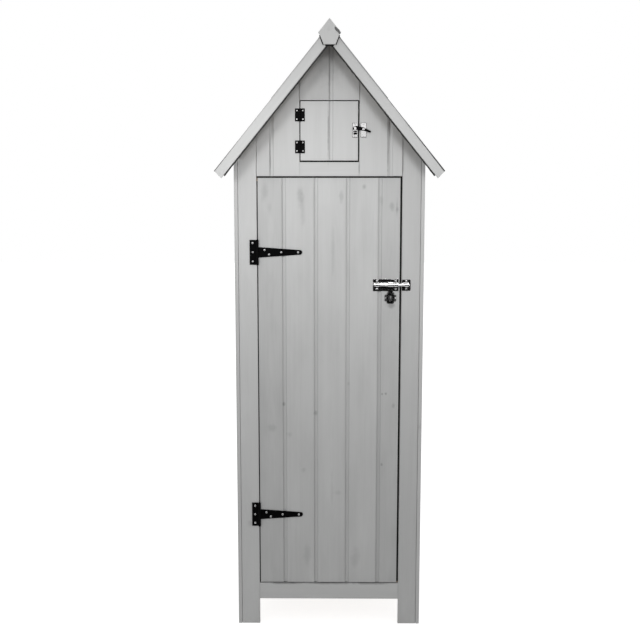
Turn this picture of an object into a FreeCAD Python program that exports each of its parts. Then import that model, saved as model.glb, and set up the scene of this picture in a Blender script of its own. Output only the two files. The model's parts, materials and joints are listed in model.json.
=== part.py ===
import FreeCAD, Part
import math
import os

from FreeCAD import Vector

os.makedirs("parts", exist_ok=True)

# A narrow wooden garden storage cabinet with a pointed roof, a tall plank door and
# a small hatch in the gable. All sizes are in millimetres. X runs to the right, Y runs
# from the front to the back, and Z is up. The origin is on the ground, in the middle of
# the cabinet's width and depth.

# Body
body_width = 626.0
body_depth = 434.0
post_width = 62.0
corner_board_width = 50.0
board_thickness = 12.0
frame_section = 28.0
leg_height = 90.0
bottom_rail_height = 57.0

# Roof
side_overhang = 57.0
eaves_overhang = 12.0
roof_pitch_degrees = 50.8
wall_top_rise = 64.0
front_overhang = 70.0
rear_overhang = 24.0
felt_thickness = 2.0
felt_lip = 12.0
ridge_strip_reach = 55.0
deck_thickness = 12.0
deck_boards_per_slope = 5
bargeboard_width = 30.0
bargeboard_thickness = 12.0
bargeboard_end_lean = 3.5
ridge_batten_height = 50.0

# Finial plate at the front of the ridge
finial_rise = 19.0
finial_thickness = 12.0
finial_half_width = 36.0
finial_notch_half_width = 30.3
finial_notch_drop = 7.0
finial_foot_half_width = 18.7
finial_height = 80.0

# Tongued and grooved boards, each scooped out in front beside its tongue
joint_gap = 1.2
butt_gap = 0.8
scoop_width = 12.0
scoop_depth = 4.5
groove_edge_bevel = 0.6
tongue_length = 5.0
tongue_setback = 5.2
tongue_thickness = 3.5
tongue_clearance = 0.3
gable_board_cover = 97.0
side_board_count = 4
back_board_count = 5

# Main door
door_hinge_gap = 3.6
door_latch_gap = 6.5
door_head_gap = 5.5
door_foot_gap = 3.5
door_height = 1385.0
door_board_cover = 105.5
first_door_board = 80.4
ledge_width = 70.0
ledge_thickness = 18.0
ledge_end_setback = 36.0
ledge_edge_distance = 60.0
door_stop_width = 35.0
door_stop_lap = 10.0

# Hatch in the gable
hatch_opening_width = 195.0
hatch_opening_height = 198.0
hatch_sill_rise = 45.5
hatch_hinge_gap = 3.2
hatch_latch_gap = 4.5
hatch_head_gap = 3.0
hatch_sill_gap = 5.0
hatch_stop_lap = 5.0
hatch_ledge_width = 34.0
hatch_ledge_thickness = 18.0
hatch_ledge_edge_distance = 23.0
hatch_ledge_end_setback = 16.0

# Floor, shelves and attic floor
floor_thickness = 15.0
floor_board_count = 4
shelf_thickness = 12.0
shelf_board_count = 3
shelf_count = 3
shelf_front_setback = 36.0
shelf_board_gap = 5.0
shelf_end_clearance = 1.0
head_rail_lap = 10.0

# Tee hinges of the main door
tee_end_distance = 243.5
tee_leaf_thickness = 2.5
tee_plate_length = 82.0
tee_plate_reach = 26.0
tee_knuckle_radius = 4.2
tee_pin_radius = 2.0
tee_pin_head_radius = 3.2
tee_pin_head_height = 1.2
strap_root_width = 34.0
strap_root_length = 9.0
strap_tip_width = 15.4
strap_reach = 148.0
strap_screw_shares = (0.10, 0.21, 0.50, 0.90)
strap_zigzag_share = 0.22
tee_screw_column_share = 0.6
tee_screw_row_share = 0.37

# Butt hinges of the hatch
butt_hinge_edge_distance = 44.0
butt_leaf_thickness = 1.5
butt_leaf_length = 41.0
butt_leaf_reach = 16.0
butt_knuckle_radius = 3.0
butt_knuckle_count = 5
butt_pin_radius = 1.5
butt_screw_column_share = 0.6
butt_screw_row_share = 0.33

# Clearances that all hinges share
hinge_standoff = 0.2
knuckle_end_gap = 0.3
knuckle_side_clearance = 0.5
running_clearance = 0.05

# Sliding bolt with its hasp
bolt_drop = 350.5
bolt_rod_radius = 5.0
bolt_rod_start_inset = 2.0
bolt_rod_tip_reach = 3.5
bolt_rod_chamfer = 1.0
bolt_plate_thickness = 1.8
bolt_plate_width = 85.5
bolt_plate_above = 18.5
bolt_plate_below = 21.5
bolt_plate_edge_distance = 2.5
bolt_plate_corner = 3.0
bridge_wall = 2.0
bridge_width = 12.0
right_bridge_inset = 4.0
left_bridge_inset = 8.0
keeper_width = 29.0
keeper_above = 17.0
keeper_below = 20.0
keeper_edge_distance = 1.5
keeper_bore_clearance = 0.6
hasp_side_gap = 2.0
hasp_sleeve_width = 18.0
hasp_thickness = 2.0
hasp_back_gap = 0.6
hasp_shoulder_half_width = 11.0
hasp_shoulder_drop = 13.0
hasp_neck_half_width = 7.2
hasp_neck_drop = 25.0
hasp_ring_half_width = 12.5
hasp_ring_top_drop = 27.0
hasp_ring_height = 35.0
hasp_slot_half_width = 6.5
hasp_slot_height = 20.0
staple_plate_half_width = 12.0
staple_plate_height = 37.0
staple_lug_half_width = 19.2
staple_lug_height = 22.0
staple_eye_thickness = 3.6
staple_eye_half_height = 6.0
staple_eye_hole_radius = 3.2
staple_eye_hole_gap = 0.4
staple_eye_wall = 1.8
staple_screw_inset = 3.2

# Catch of the hatch
catch_plate_thickness = 1.5
catch_plate_corner = 2.0
catch_plate_height = 47.0
catch_plate_rise = 74.0
stud_plate_width = 18.5
stud_plate_edge_distance = 0.5
pivot_plate_width = 19.5
pivot_plate_edge_distance = 3.4
pivot_rise = 27.0
pivot_boss_radius = 4.5
pivot_boss_height = 1.5
pivot_shank_radius = 2.5
pivot_head_radius = 4.2
pivot_head_height = 1.2
arm_thickness = 2.0
arm_face_gap = 0.1
stud_rise = 29.7
stud_radius = 2.5
stud_head_gap = 0.5
hook_clearance = 0.5
hook_wall = 4.0
hook_overhang = 5.2
arm_hub_radius = 6.0
arm_root_half_width = 5.0
tail_reach = 21.0
tail_drop = 8.5
tail_end_radius = 3.2

# Screws: a large size for the hinges and the bolt, and a small one
screw_crown_share = 0.6
large_head_radius = 3.5
large_head_height = 1.6
large_shank_radius = 1.7
small_head_radius = 2.6
small_head_height = 1.2
small_shank_radius = 1.2
screw_hole_clearance = 0.1
screw_tip_cover = 1.5

# Worked out from the sizes above
pitch = math.radians(roof_pitch_degrees)
side_face = body_width / 2
side_inner = side_face - board_thickness
cladding_inner = side_inner - board_thickness
frame_inner = cladding_inner - frame_section
opening_half = side_inner - post_width
overall_depth = finial_thickness + front_overhang + body_depth + rear_overhang
front_face = -overall_depth / 2 + finial_thickness + front_overhang
back_face = front_face + body_depth
front_board_back = front_face + board_thickness
rear_board_front = back_face - board_thickness
front_frame_back = front_board_back + frame_section
rear_frame_front = rear_board_front - frame_section
roof_front = front_face - front_overhang
roof_back = back_face + rear_overhang
deck_front = roof_front + bargeboard_thickness
deck_back = roof_back - bargeboard_thickness
slope_length = (body_width / 2 + side_overhang) / math.cos(pitch)
eaves_length = (body_width / 2 + eaves_overhang) / math.cos(pitch)
deck_end = eaves_length - felt_thickness
deck_underside = felt_thickness + deck_thickness
floor_top = leg_height + bottom_rail_height
door_base = floor_top + door_foot_gap
door_top = door_base + door_height
door_left = -opening_half + door_hinge_gap
door_right = opening_half - door_latch_gap
gable_base = door_top + door_head_gap
wall_top = gable_base + wall_top_rise
ridge_height = wall_top + side_face * math.tan(pitch) + deck_underside / math.cos(pitch)
finial_top = ridge_height + finial_rise
attic_floor_top = gable_base + shelf_thickness
shelf_spacing = (gable_base - floor_top) / (shelf_count + 1)
hatch_opening_half = hatch_opening_width / 2
hatch_opening_base = gable_base + hatch_sill_rise
hatch_opening_top = hatch_opening_base + hatch_opening_height
hatch_left = -hatch_opening_half + hatch_hinge_gap
hatch_right = hatch_opening_half - hatch_latch_gap
hatch_base = hatch_opening_base + hatch_sill_gap
hatch_top = hatch_opening_top - hatch_head_gap

nodes = {}


def keep(name, *solids):
    """Store the solids of one named sub-part."""
    nodes[name] = list(solids)


def box(x_start, x_end, y_start, y_end, z_start, z_end):
    corner = Vector(x_start, y_start, z_start)
    return Part.makeBox(x_end - x_start, y_end - y_start, z_end - z_start, corner)


def front_plate(outline, y_start, y_end):
    """A flat plate whose outline is a list of X and Z pairs."""
    points = [Vector(x, y_start, z) for x, z in outline]
    wire = Part.makePolygon(points + points[:1])
    return Part.Face(wire).extrude(Vector(0, y_end - y_start, 0))


def rounded_plate(x_start, x_end, z_start, z_end, y_start, y_end, radius):
    plate = box(x_start, x_end, y_start, y_end, z_start, z_end)
    corner_edges = [
        edge for edge in plate.Edges
        if abs(edge.Vertexes[0].Y - edge.Vertexes[1].Y) > (y_end - y_start) / 2
    ]
    return plate.makeFillet(radius, corner_edges)


def disc(x, z, radius, y_start, y_end):
    """A cylinder along Y."""
    return Part.makeCylinder(radius, y_end - y_start, Vector(x, y_start, z), Vector(0, 1, 0))


def slot(x, z_low, z_high, radius, y_start, y_end):
    """An upright slot with round ends, as a solid along Y."""
    middle = box(x - radius, x + radius, y_start, y_end, z_low + radius, z_high - radius)
    low_end = disc(x, z_low + radius, radius, y_start, y_end)
    high_end = disc(x, z_high - radius, radius, y_start, y_end)
    return middle.fuse([low_end, high_end]).removeSplitter()


def roof_line(x, depth):
    """Height of the line that lies this deep in the roof, square to its slope, at X."""
    return ridge_height - abs(x) * math.tan(pitch) - depth / math.cos(pitch)


def slope_point(along, depth, side):
    """X and Z of a point this far down one slope and this deep in the roof."""
    x = along * math.cos(pitch) - depth * math.sin(pitch)
    z = ridge_height - along * math.sin(pitch) - depth * math.cos(pitch)
    return (side * x, z)


def ridge_start(depth):
    """How far down the slope a layer at this depth meets the middle of the cabinet."""
    return depth * math.tan(pitch)


def slope_band(start, end, depth_top, depth_base, y_start, y_end, side):
    """A board that lies on one slope. Without a start, it is mitred at the ridge."""
    top_start = ridge_start(depth_top) if start is None else start
    base_start = ridge_start(depth_base) if start is None else start
    outline = [
        slope_point(top_start, depth_top, side),
        slope_point(end, depth_top, side),
        slope_point(end, depth_base, side),
        slope_point(base_start, depth_base, side),
    ]
    return front_plate(outline, y_start, y_end)


def under_roof(solid):
    """Cut a solid to the underside of the roof boards."""
    reach = side_face + side_overhang
    eaves = roof_line(reach, deck_underside)
    outline = [
        (-reach, 0), (reach, 0), (reach, eaves), (0, roof_line(0, deck_underside)),
        (-reach, eaves),
    ]
    return solid.common(front_plate(outline, roof_front, roof_back))


def panel_point(facing, across, depth, z):
    """A point of a panel, measured across it and into it from its outer face."""
    if facing == "front":
        return Vector(across, front_face + depth, z)
    if facing == "back":
        return Vector(across, back_face - depth, z)
    if facing == "left":
        return Vector(-side_inner + depth, across, z)
    return Vector(side_inner - depth, across, z)


def plank(facing, start, end, base, top, tongued, grooved):
    """One upright board, with a tongue and a scoop at its start side or a groove at its end."""
    half_gap = joint_gap / 2
    tongue_back = tongue_setback + tongue_thickness
    groove_front = tongue_setback - tongue_clearance
    groove_back = tongue_back + tongue_clearance
    groove_depth = tongue_length + tongue_clearance
    if tongued:
        edge = start + half_gap
        scoop_radius = (scoop_width ** 2 + scoop_depth ** 2) / (2 * scoop_depth)
        half_turn = math.asin(scoop_width / scoop_radius) / 2
        scoop_middle = (
            edge + scoop_radius * math.sin(half_turn),
            scoop_depth - scoop_radius * (1 - math.cos(half_turn)),
        )
        profile = [
            (edge, scoop_depth), (edge, tongue_setback), (edge - tongue_length, tongue_setback),
            (edge - tongue_length, tongue_back), (edge, tongue_back), (edge, board_thickness),
        ]
        face_start = edge + scoop_width
    else:
        profile = [(start, 0), (start, board_thickness)]
        face_start = start
    if grooved:
        edge = end - half_gap
        profile += [
            (edge, board_thickness), (edge, groove_back), (edge - groove_depth, groove_back),
            (edge - groove_depth, groove_front), (edge, groove_front),
            (edge, groove_edge_bevel), (edge - groove_edge_bevel, 0),
        ]
    else:
        profile += [(end, board_thickness), (end, 0)]
    if tongued:
        profile.append((face_start, 0))
    points = [panel_point(facing, across, depth, base) for across, depth in profile]
    edges = [Part.LineSegment(near, far).toShape() for near, far in zip(points, points[1:])]
    if tongued:
        middle = panel_point(facing, *scoop_middle, base)
        edges.append(Part.Arc(points[-1], middle, points[0]).toShape())
    else:
        edges.append(Part.LineSegment(points[-1], points[0]).toShape())
    return Part.Face(Part.Wire(edges)).extrude(Vector(0, 0, top - base))


def panel(facing, seams, base, top):
    """Boards side by side: the seams are the panel's two edges and the joints between."""
    boards = []
    last = len(seams) - 2
    for index in range(last + 1):
        tongued = index > 0
        grooved = index < last
        boards.append(plank(facing, seams[index], seams[index + 1], base, top, tongued, grooved))
    return boards


def even_seams(start, end, count):
    return [start + (end - start) * index / count for index in range(count + 1)]


def seams_by_cover(start, end, cover):
    """Joints one board apart from the start, and the end, where the last board is cut."""
    seams = [start]
    while seams[-1] + cover < end:
        seams.append(seams[-1] + cover)
    return seams + [end]


def slats(x_half, y_start, y_end, z_start, z_end, count, gap):
    """Boards that run from side to side, with a gap between neighbours."""
    pitch_along = (y_end - y_start + gap) / count
    boards = []
    for index in range(count):
        near = y_start + index * pitch_along
        boards.append(box(-x_half, x_half, near, near + pitch_along - gap, z_start, z_end))
    return boards


def screw(x, z, seat, tip, head_radius, head_height, shank_radius):
    """A round-headed screw whose head sits on the face at Y = seat."""
    crown_radius = head_radius * screw_crown_share
    head = Part.makeCone(
        crown_radius, head_radius, head_height, Vector(x, seat - head_height, z), Vector(0, 1, 0)
    )
    shank = disc(x, z, shank_radius, seat, tip)
    return head.fuse(shank)


def large_screw(x, z, seat):
    tip = front_board_back - screw_tip_cover
    return screw(x, z, seat, tip, large_head_radius, large_head_height, large_shank_radius)


def small_screw(x, z, seat):
    tip = front_board_back - screw_tip_cover
    return screw(x, z, seat, tip, small_head_radius, small_head_height, small_shank_radius)


def drilled(solids, places, shank_radius):
    """Drill a blind hole from the front for each screw that meets a solid."""
    deepest = front_board_back - screw_tip_cover + screw_hole_clearance
    radius = shank_radius + screw_hole_clearance
    drilled_solids = []
    for solid in solids:
        bounds = solid.BoundBox
        for x, z in places:
            across = bounds.XMin - radius < x < bounds.XMax + radius
            upward = bounds.ZMin - radius < z < bounds.ZMax + radius
            if across and upward:
                solid = solid.cut(disc(x, z, radius, roof_front, deepest))
        drilled_solids.append(solid)
    return drilled_solids


def hinge_knuckles(pin_x, pin_y, radius, spans):
    """Knuckles around an upright pin, one for each span of heights."""
    return [
        Part.makeCylinder(radius, high - low, Vector(pin_x, pin_y, low), Vector(0, 0, 1))
        for low, high in spans
    ]


def hinge_leaf(leaf, pin_x, pin_y, radius, own_spans, other_spans, pin_radius):
    """Join a flat leaf to its knuckles, clear of the other leaf's, and bore it for the pin."""
    clear_radius = radius + knuckle_side_clearance
    leaf = leaf.cut(hinge_knuckles(pin_x, pin_y, clear_radius, other_spans))
    leaf = leaf.fuse(hinge_knuckles(pin_x, pin_y, radius, own_spans)).removeSplitter()
    low = min(span[0] for span in own_spans)
    high = max(span[1] for span in own_spans)
    bore_radius = pin_radius + running_clearance
    bore = Part.makeCylinder(bore_radius, high - low, Vector(pin_x, pin_y, low), Vector(0, 0, 1))
    return leaf.cut(bore)


# Where the hardware and its screws are

tee_pin_x = (door_left - opening_half) / 2
tee_pin_y = front_face - tee_knuckle_radius - hinge_standoff
tee_screw_seat = front_face - tee_leaf_thickness
tee_heights = (door_base + tee_end_distance, door_top - tee_end_distance)


def tee_plate_screws():
    column = tee_pin_x - tee_plate_reach * tee_screw_column_share
    row = tee_plate_length * tee_screw_row_share
    return [(column, height + step * row) for height in tee_heights for step in (-1, 0, 1)]


def strap_screws():
    """Two screws up and down of the middle line near the pin, and the others on it."""
    root = tee_pin_x + strap_root_length
    length = strap_reach - strap_root_length
    zigzag = strap_root_width * strap_zigzag_share
    rises = (zigzag, -zigzag, 0.0, 0.0)
    return [
        (root + length * share, height + rise)
        for height in tee_heights
        for share, rise in zip(strap_screw_shares, rises)
    ]


butt_pin_x = (hatch_left - hatch_opening_half) / 2
butt_pin_y = front_face - butt_knuckle_radius - hinge_standoff
butt_screw_seat = front_face - butt_leaf_thickness
butt_heights = (hatch_base + butt_hinge_edge_distance, hatch_top - butt_hinge_edge_distance)


def butt_screws(side):
    column = butt_pin_x + side * butt_leaf_reach * butt_screw_column_share
    row = butt_leaf_length * butt_screw_row_share
    return [(column, height + sign * row) for height in butt_heights for sign in (-1, 1)]


bolt_height = door_top - bolt_drop
bolt_plate_end = door_right - bolt_plate_edge_distance
bolt_plate_start = bolt_plate_end - bolt_plate_width
bolt_plate_front = front_face - bolt_plate_thickness
bolt_sleeve_radius = bolt_rod_radius + running_clearance + hasp_thickness
bolt_axis_y = bolt_plate_front - hasp_back_gap - bolt_sleeve_radius
bridge_radius = bolt_rod_radius + running_clearance + bridge_wall
left_bridge_x = bolt_plate_start + left_bridge_inset + bridge_width / 2
right_bridge_x = bolt_plate_end - right_bridge_inset - bridge_width / 2
keeper_start = opening_half + keeper_edge_distance
keeper_bridge_x = keeper_start + keeper_width / 2
bolt_rod_start = bolt_plate_start + bolt_rod_start_inset
bolt_rod_end = keeper_bridge_x + bridge_width / 2 + bolt_rod_tip_reach
bolt_rod_length = bolt_rod_end - bolt_rod_start
hasp_x = right_bridge_x - bridge_width / 2 - hasp_side_gap - hasp_sleeve_width / 2
hasp_ring_top = bolt_height - hasp_ring_top_drop
hasp_ring_base = hasp_ring_top - hasp_ring_height
hasp_ring_middle = (hasp_ring_top + hasp_ring_base) / 2


def bolt_plate_screws():
    above = bolt_height + (bridge_radius + bolt_plate_above) / 2
    below = bolt_height - (bridge_radius + bolt_plate_below) / 2
    return [(x, z) for x in (left_bridge_x, right_bridge_x) for z in (above, below)]


def keeper_screws():
    above = bolt_height + (bridge_radius + keeper_above) / 2
    below = bolt_height - (bridge_radius + keeper_below) / 2
    return [(keeper_bridge_x, above), (keeper_bridge_x, below)]


def staple_screws():
    reach = staple_lug_half_width - staple_screw_inset
    return [(hasp_x + sign * reach, hasp_ring_middle) for sign in (-1, 1)]


catch_front = front_face - catch_plate_thickness
catch_plate_base = hatch_base + catch_plate_rise
stud_plate_end = hatch_right - stud_plate_edge_distance
stud_plate_start = stud_plate_end - stud_plate_width
stud_x = stud_plate_start + stud_plate_width / 2
stud_z = catch_plate_base + stud_rise
pivot_plate_start = hatch_opening_half + pivot_plate_edge_distance
pivot_x = pivot_plate_start + pivot_plate_width / 2
pivot_z = catch_plate_base + pivot_rise
arm_back = catch_front - pivot_boss_height - arm_face_gap
arm_front = arm_back - arm_thickness


def catch_screws(x):
    inset = small_head_radius + small_shank_radius / 2
    return [(x, catch_plate_base + inset), (x, catch_plate_base + catch_plate_height - inset)]


# Legs, walls and gables

def make_corners():
    front_posts = []
    rear_posts = []
    corner_boards = []
    uprights = []
    for side in (-1, 1):
        post_x = sorted((side * opening_half, side * (side_inner - butt_gap)))
        corner_x = sorted((side * side_inner, side * side_face))
        upright_x = sorted((side * frame_inner, side * cladding_inner))
        front_posts.append(box(*post_x, front_face, front_board_back, 0, ridge_height))
        rear_posts.append(box(*post_x, rear_board_front, back_face, 0, ridge_height))
        for corner_y in (
            (front_face, front_face + corner_board_width),
            (back_face - corner_board_width, back_face),
        ):
            corner_boards.append(box(*corner_x, *corner_y, 0, ridge_height))
        for upright_y in (
            (front_board_back, front_frame_back),
            (rear_frame_front, rear_board_front),
        ):
            uprights.append(box(*upright_x, *upright_y, 0, ridge_height))
    left_post, right_post = [under_roof(post) for post in front_posts]
    keep("front_post_left", *drilled([left_post], tee_plate_screws(), large_shank_radius))
    keep("front_post_right", *drilled([right_post], keeper_screws(), large_shank_radius))
    keep("rear_posts", *[under_roof(post) for post in rear_posts])
    keep("corner_boards", *[under_roof(board) for board in corner_boards])
    keep("uprights", *[under_roof(upright) for upright in uprights])


def make_walls():
    side_seams = even_seams(front_board_back, rear_board_front, side_board_count)
    back_seams = even_seams(-opening_half, opening_half, back_board_count)
    for facing in ("left", "right"):
        boards = panel(facing, side_seams, leg_height, ridge_height)
        keep("side_boards_" + facing, *[under_roof(board) for board in boards])
    boards = panel("back", back_seams, leg_height, ridge_height)
    keep("back_boards", *[under_roof(board) for board in boards])


def make_front_gable():
    right_seams = seams_by_cover(hatch_opening_half, opening_half - butt_gap, gable_board_cover)
    left_seams = [-seam for seam in reversed(right_seams)]
    middle_seams = [-hatch_opening_half + butt_gap, 0.0, hatch_opening_half - butt_gap]
    left = [under_roof(board) for board in panel("front", left_seams, gable_base, ridge_height)]
    right = [under_roof(board) for board in panel("front", right_seams, gable_base, ridge_height)]
    above = panel("front", middle_seams, hatch_opening_top, ridge_height)
    keep("gable_boards_left", *drilled(left, butt_screws(-1), small_shank_radius))
    keep("gable_boards_right", *drilled(right, catch_screws(pivot_x), small_shank_radius))
    keep("gable_board_below_hatch", box(
        -hatch_opening_half, hatch_opening_half, front_face, front_board_back, gable_base,
        hatch_opening_base,
    ))
    keep("gable_boards_above_hatch", *[under_roof(board) for board in above])


def make_frame():
    rail = box(-opening_half, opening_half, front_face, front_board_back, leg_height, floor_top)
    keep("bottom_rail", rail)
    head_rail_base = door_top - head_rail_lap
    head_rail_top = hatch_base + hatch_stop_lap
    front_rail = box(
        -frame_inner, frame_inner, front_board_back, front_frame_back, head_rail_base, head_rail_top
    )
    rear_rail = box(
        -frame_inner, frame_inner, rear_frame_front, rear_board_front, head_rail_base,
        attic_floor_top,
    )
    keep("head_rails", front_rail, rear_rail)
    stop_start = door_right - door_stop_lap
    keep("door_stop", box(
        stop_start, stop_start + door_stop_width, front_board_back,
        front_board_back + board_thickness, floor_top, head_rail_base,
    ))
    rafter_depth = deck_underside + frame_section
    trimmer_base = hatch_top - hatch_stop_lap
    trimmer_top = trimmer_base + frame_section
    under_rafter = [
        (roof_line(0, rafter_depth) - height) / math.tan(pitch)
        for height in (trimmer_base, trimmer_top)
    ]
    trimmer_outline = [
        (-under_rafter[0], trimmer_base), (under_rafter[0], trimmer_base),
        (under_rafter[1], trimmer_top), (-under_rafter[1], trimmer_top),
    ]
    keep("hatch_trimmer", front_plate(trimmer_outline, front_board_back, front_frame_back))
    ridge_half = frame_section / 2
    rafters = []
    for side in (-1, 1):
        outline = [
            (side * ridge_half, roof_line(ridge_half, deck_underside)),
            (side * frame_inner, roof_line(frame_inner, deck_underside)),
            (side * frame_inner, roof_line(frame_inner, rafter_depth)),
            (side * ridge_half, roof_line(ridge_half, rafter_depth)),
        ]
        rafters.append(front_plate(outline, front_board_back, front_frame_back))
        rafters.append(front_plate(outline, rear_frame_front, rear_board_front))
    keep("rafters", *rafters)
    batten_base = roof_line(0, deck_underside) - ridge_batten_height
    keep("ridge_batten", under_roof(box(
        -ridge_half, ridge_half, front_board_back, rear_board_front, batten_base, ridge_height
    )))


def make_floor_and_shelves():
    bearer_base = leg_height + board_thickness
    keep("floor_bearers", *[
        box(-frame_inner, frame_inner, y_start, y_start + frame_section, bearer_base, floor_top)
        for y_start in (front_board_back, rear_frame_front)
    ])
    keep("floor_boards", *slats(
        cladding_inner - shelf_end_clearance, front_frame_back, rear_frame_front,
        floor_top - floor_thickness, floor_top, floor_board_count, joint_gap,
    ))
    shelf_tops = [floor_top + (index + 1) * shelf_spacing for index in range(shelf_count)]
    shelf_front = front_board_back + shelf_front_setback
    shelves = []
    for top in shelf_tops:
        shelves += slats(
            cladding_inner - shelf_end_clearance, shelf_front, rear_frame_front,
            top - shelf_thickness, top, shelf_board_count, shelf_board_gap,
        )
    keep("shelves", *shelves)
    keep("attic_floor", *slats(
        cladding_inner - shelf_end_clearance, front_frame_back, rear_frame_front,
        gable_base, attic_floor_top, floor_board_count, joint_gap,
    ))
    batten_tops = [floor_top - floor_thickness]
    batten_tops += [top - shelf_thickness for top in shelf_tops]
    batten_tops += [gable_base]
    plate_base = roof_line(cladding_inner, deck_underside) - frame_section
    battens = []
    wall_plates = []
    for side in (-1, 1):
        batten_x = sorted((side * frame_inner, side * cladding_inner))
        battens += [
            box(*batten_x, front_frame_back, rear_frame_front, top - frame_section, top)
            for top in batten_tops
        ]
        wall_plates.append(under_roof(
            box(*batten_x, front_frame_back, rear_frame_front, plate_base, ridge_height)
        ))
    keep("side_battens", *battens)
    keep("wall_plates", *wall_plates)


# Roof

def make_roof():
    deck_start = ridge_start(deck_underside)
    seams = even_seams(deck_start, deck_end, deck_boards_per_slope)
    for side, side_name in ((-1, "left"), (1, "right")):
        boards = []
        for index in range(deck_boards_per_slope):
            start = None if index == 0 else seams[index] + joint_gap
            boards.append(slope_band(
                start, seams[index + 1], felt_thickness, deck_underside, deck_front, deck_back, side
            ))
        keep("roof_boards_" + side_name, *boards)
        sheet = slope_band(None, eaves_length, 0, felt_thickness, roof_front, roof_back, side)
        lip = slope_band(
            deck_end, eaves_length, 0, felt_thickness + felt_lip, deck_front, deck_back, side
        )
        front_strip = slope_band(
            deck_end, slope_length, 0, felt_thickness, roof_front, deck_front, side
        )
        keep("roof_felt_" + side_name, sheet.fuse([lip, front_strip]).removeSplitter())
    strips = [
        slope_band(None, ridge_strip_reach, -felt_thickness, 0, roof_front, roof_back, side)
        for side in (-1, 1)
    ]
    keep("ridge_strip", strips[0].fuse(strips[1]).removeSplitter())


def bargeboard(length, y_start, side):
    base = felt_thickness + bargeboard_width
    outline = [
        slope_point(ridge_start(felt_thickness), felt_thickness, side),
        slope_point(length, felt_thickness, side),
        slope_point(length + bargeboard_end_lean, base, side),
        slope_point(ridge_start(base), base, side),
    ]
    return front_plate(outline, y_start, y_start + bargeboard_thickness)


def make_bargeboards():
    for side, side_name in ((-1, "left"), (1, "right")):
        keep("front_bargeboard_" + side_name, bargeboard(slope_length, roof_front, side))
    keep("rear_bargeboards", *[bargeboard(deck_end, deck_back, side) for side in (-1, 1)])
    shoulder = finial_top - finial_half_width * math.tan(pitch)
    half_outline = [
        (finial_half_width, shoulder),
        (finial_notch_half_width, shoulder - finial_notch_drop),
        (finial_foot_half_width, finial_top - finial_height),
    ]
    outline = [(0, finial_top)] + half_outline + [(-x, z) for x, z in reversed(half_outline)]
    keep("finial_plate", front_plate(outline, roof_front - finial_thickness, roof_front))


# Main door

def make_door():
    first_seam = door_left + first_door_board
    seams = [door_left] + seams_by_cover(first_seam, door_right, door_board_cover)
    boards = panel("front", seams, door_base, door_top)
    boards = drilled(boards, strap_screws() + bolt_plate_screws(), large_shank_radius)
    keep("door_boards", *drilled(boards, staple_screws(), small_shank_radius))
    ledge_start = door_left + ledge_end_setback
    ledge_end = door_right - ledge_end_setback
    ledge_back = front_board_back + ledge_thickness
    low = door_base + ledge_edge_distance
    high = door_top - ledge_edge_distance - ledge_width
    bases = [low, (low + high) / 2, high]
    ledges = [
        box(ledge_start, ledge_end, front_board_back, ledge_back, base, base + ledge_width)
        for base in bases
    ]
    braces = []
    for lower, upper in ((bases[0], bases[1]), (bases[1], bases[2])):
        brace_base = lower + ledge_width
        brace_outline = [
            (ledge_start, brace_base), (ledge_start + ledge_width, brace_base),
            (ledge_end, upper), (ledge_end - ledge_width, upper),
        ]
        braces.append(front_plate(brace_outline, front_board_back, ledge_back))
    keep("door_ledges_and_braces", *ledges, *braces)


def tee_hinge(height):
    """The post plate, the door strap and the pin of one tee hinge."""
    half_plate = tee_plate_length / 2
    half_root = strap_root_width / 2
    middle = [(height - half_root, height + half_root)]
    outer = [
        (height - half_plate, height - half_root - knuckle_end_gap),
        (height + half_root + knuckle_end_gap, height + half_plate),
    ]
    cleared = [(height - half_root - knuckle_end_gap, height + half_root + knuckle_end_gap)]
    plate = box(
        tee_pin_x - tee_plate_reach, tee_pin_x, tee_screw_seat, front_face,
        height - half_plate, height + half_plate,
    )
    plate = hinge_leaf(
        plate, tee_pin_x, tee_pin_y, tee_knuckle_radius, outer, cleared, tee_pin_radius
    )
    half_tip = strap_tip_width / 2
    tip_x = tee_pin_x + strap_reach - half_tip
    outline = [
        (tee_pin_x, height - half_root), (tee_pin_x + strap_root_length, height - half_root),
        (tip_x, height - half_tip), (tip_x, height + half_tip),
        (tee_pin_x + strap_root_length, height + half_root), (tee_pin_x, height + half_root),
    ]
    strap = front_plate(outline, tee_screw_seat, front_face)
    strap = strap.fuse(disc(tip_x, height, half_tip, tee_screw_seat, front_face))
    strap = hinge_leaf(
        strap.removeSplitter(), tee_pin_x, tee_pin_y, tee_knuckle_radius, middle, outer,
        tee_pin_radius,
    )
    pin = Part.makeCylinder(
        tee_pin_radius, tee_plate_length, Vector(tee_pin_x, tee_pin_y, height - half_plate)
    )
    heads = [
        Part.makeCylinder(
            tee_pin_head_radius, tee_pin_head_height, Vector(tee_pin_x, tee_pin_y, start)
        )
        for start in (height - half_plate - tee_pin_head_height, height + half_plate)
    ]
    return plate, strap, pin.fuse(heads).removeSplitter()


def make_tee_hinges():
    pins = []
    for height, name in zip(tee_heights, ("lower", "upper")):
        plate, strap, pin = tee_hinge(height)
        keep(name + "_hinge_plate", *drilled([plate], tee_plate_screws(), large_shank_radius))
        keep(name + "_hinge_strap", *drilled([strap], strap_screws(), large_shank_radius))
        pins.append(pin)
    keep("door_hinge_pins", *pins)


# Sliding bolt

def rod_bore(x_middle, width, radius):
    start = Vector(x_middle - width / 2, bolt_axis_y, bolt_height)
    return Part.makeCylinder(radius, width, start, Vector(1, 0, 0))


def guide_bridge(x_middle, bore_radius):
    """A block on a plate, round in front, that guides the rod."""
    radius = bore_radius + bridge_wall
    start = x_middle - bridge_width / 2
    end = x_middle + bridge_width / 2
    foot = box(
        start, end, bolt_axis_y, bolt_plate_front, bolt_height - radius, bolt_height + radius
    )
    return foot.fuse(rod_bore(x_middle, bridge_width, radius))


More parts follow.
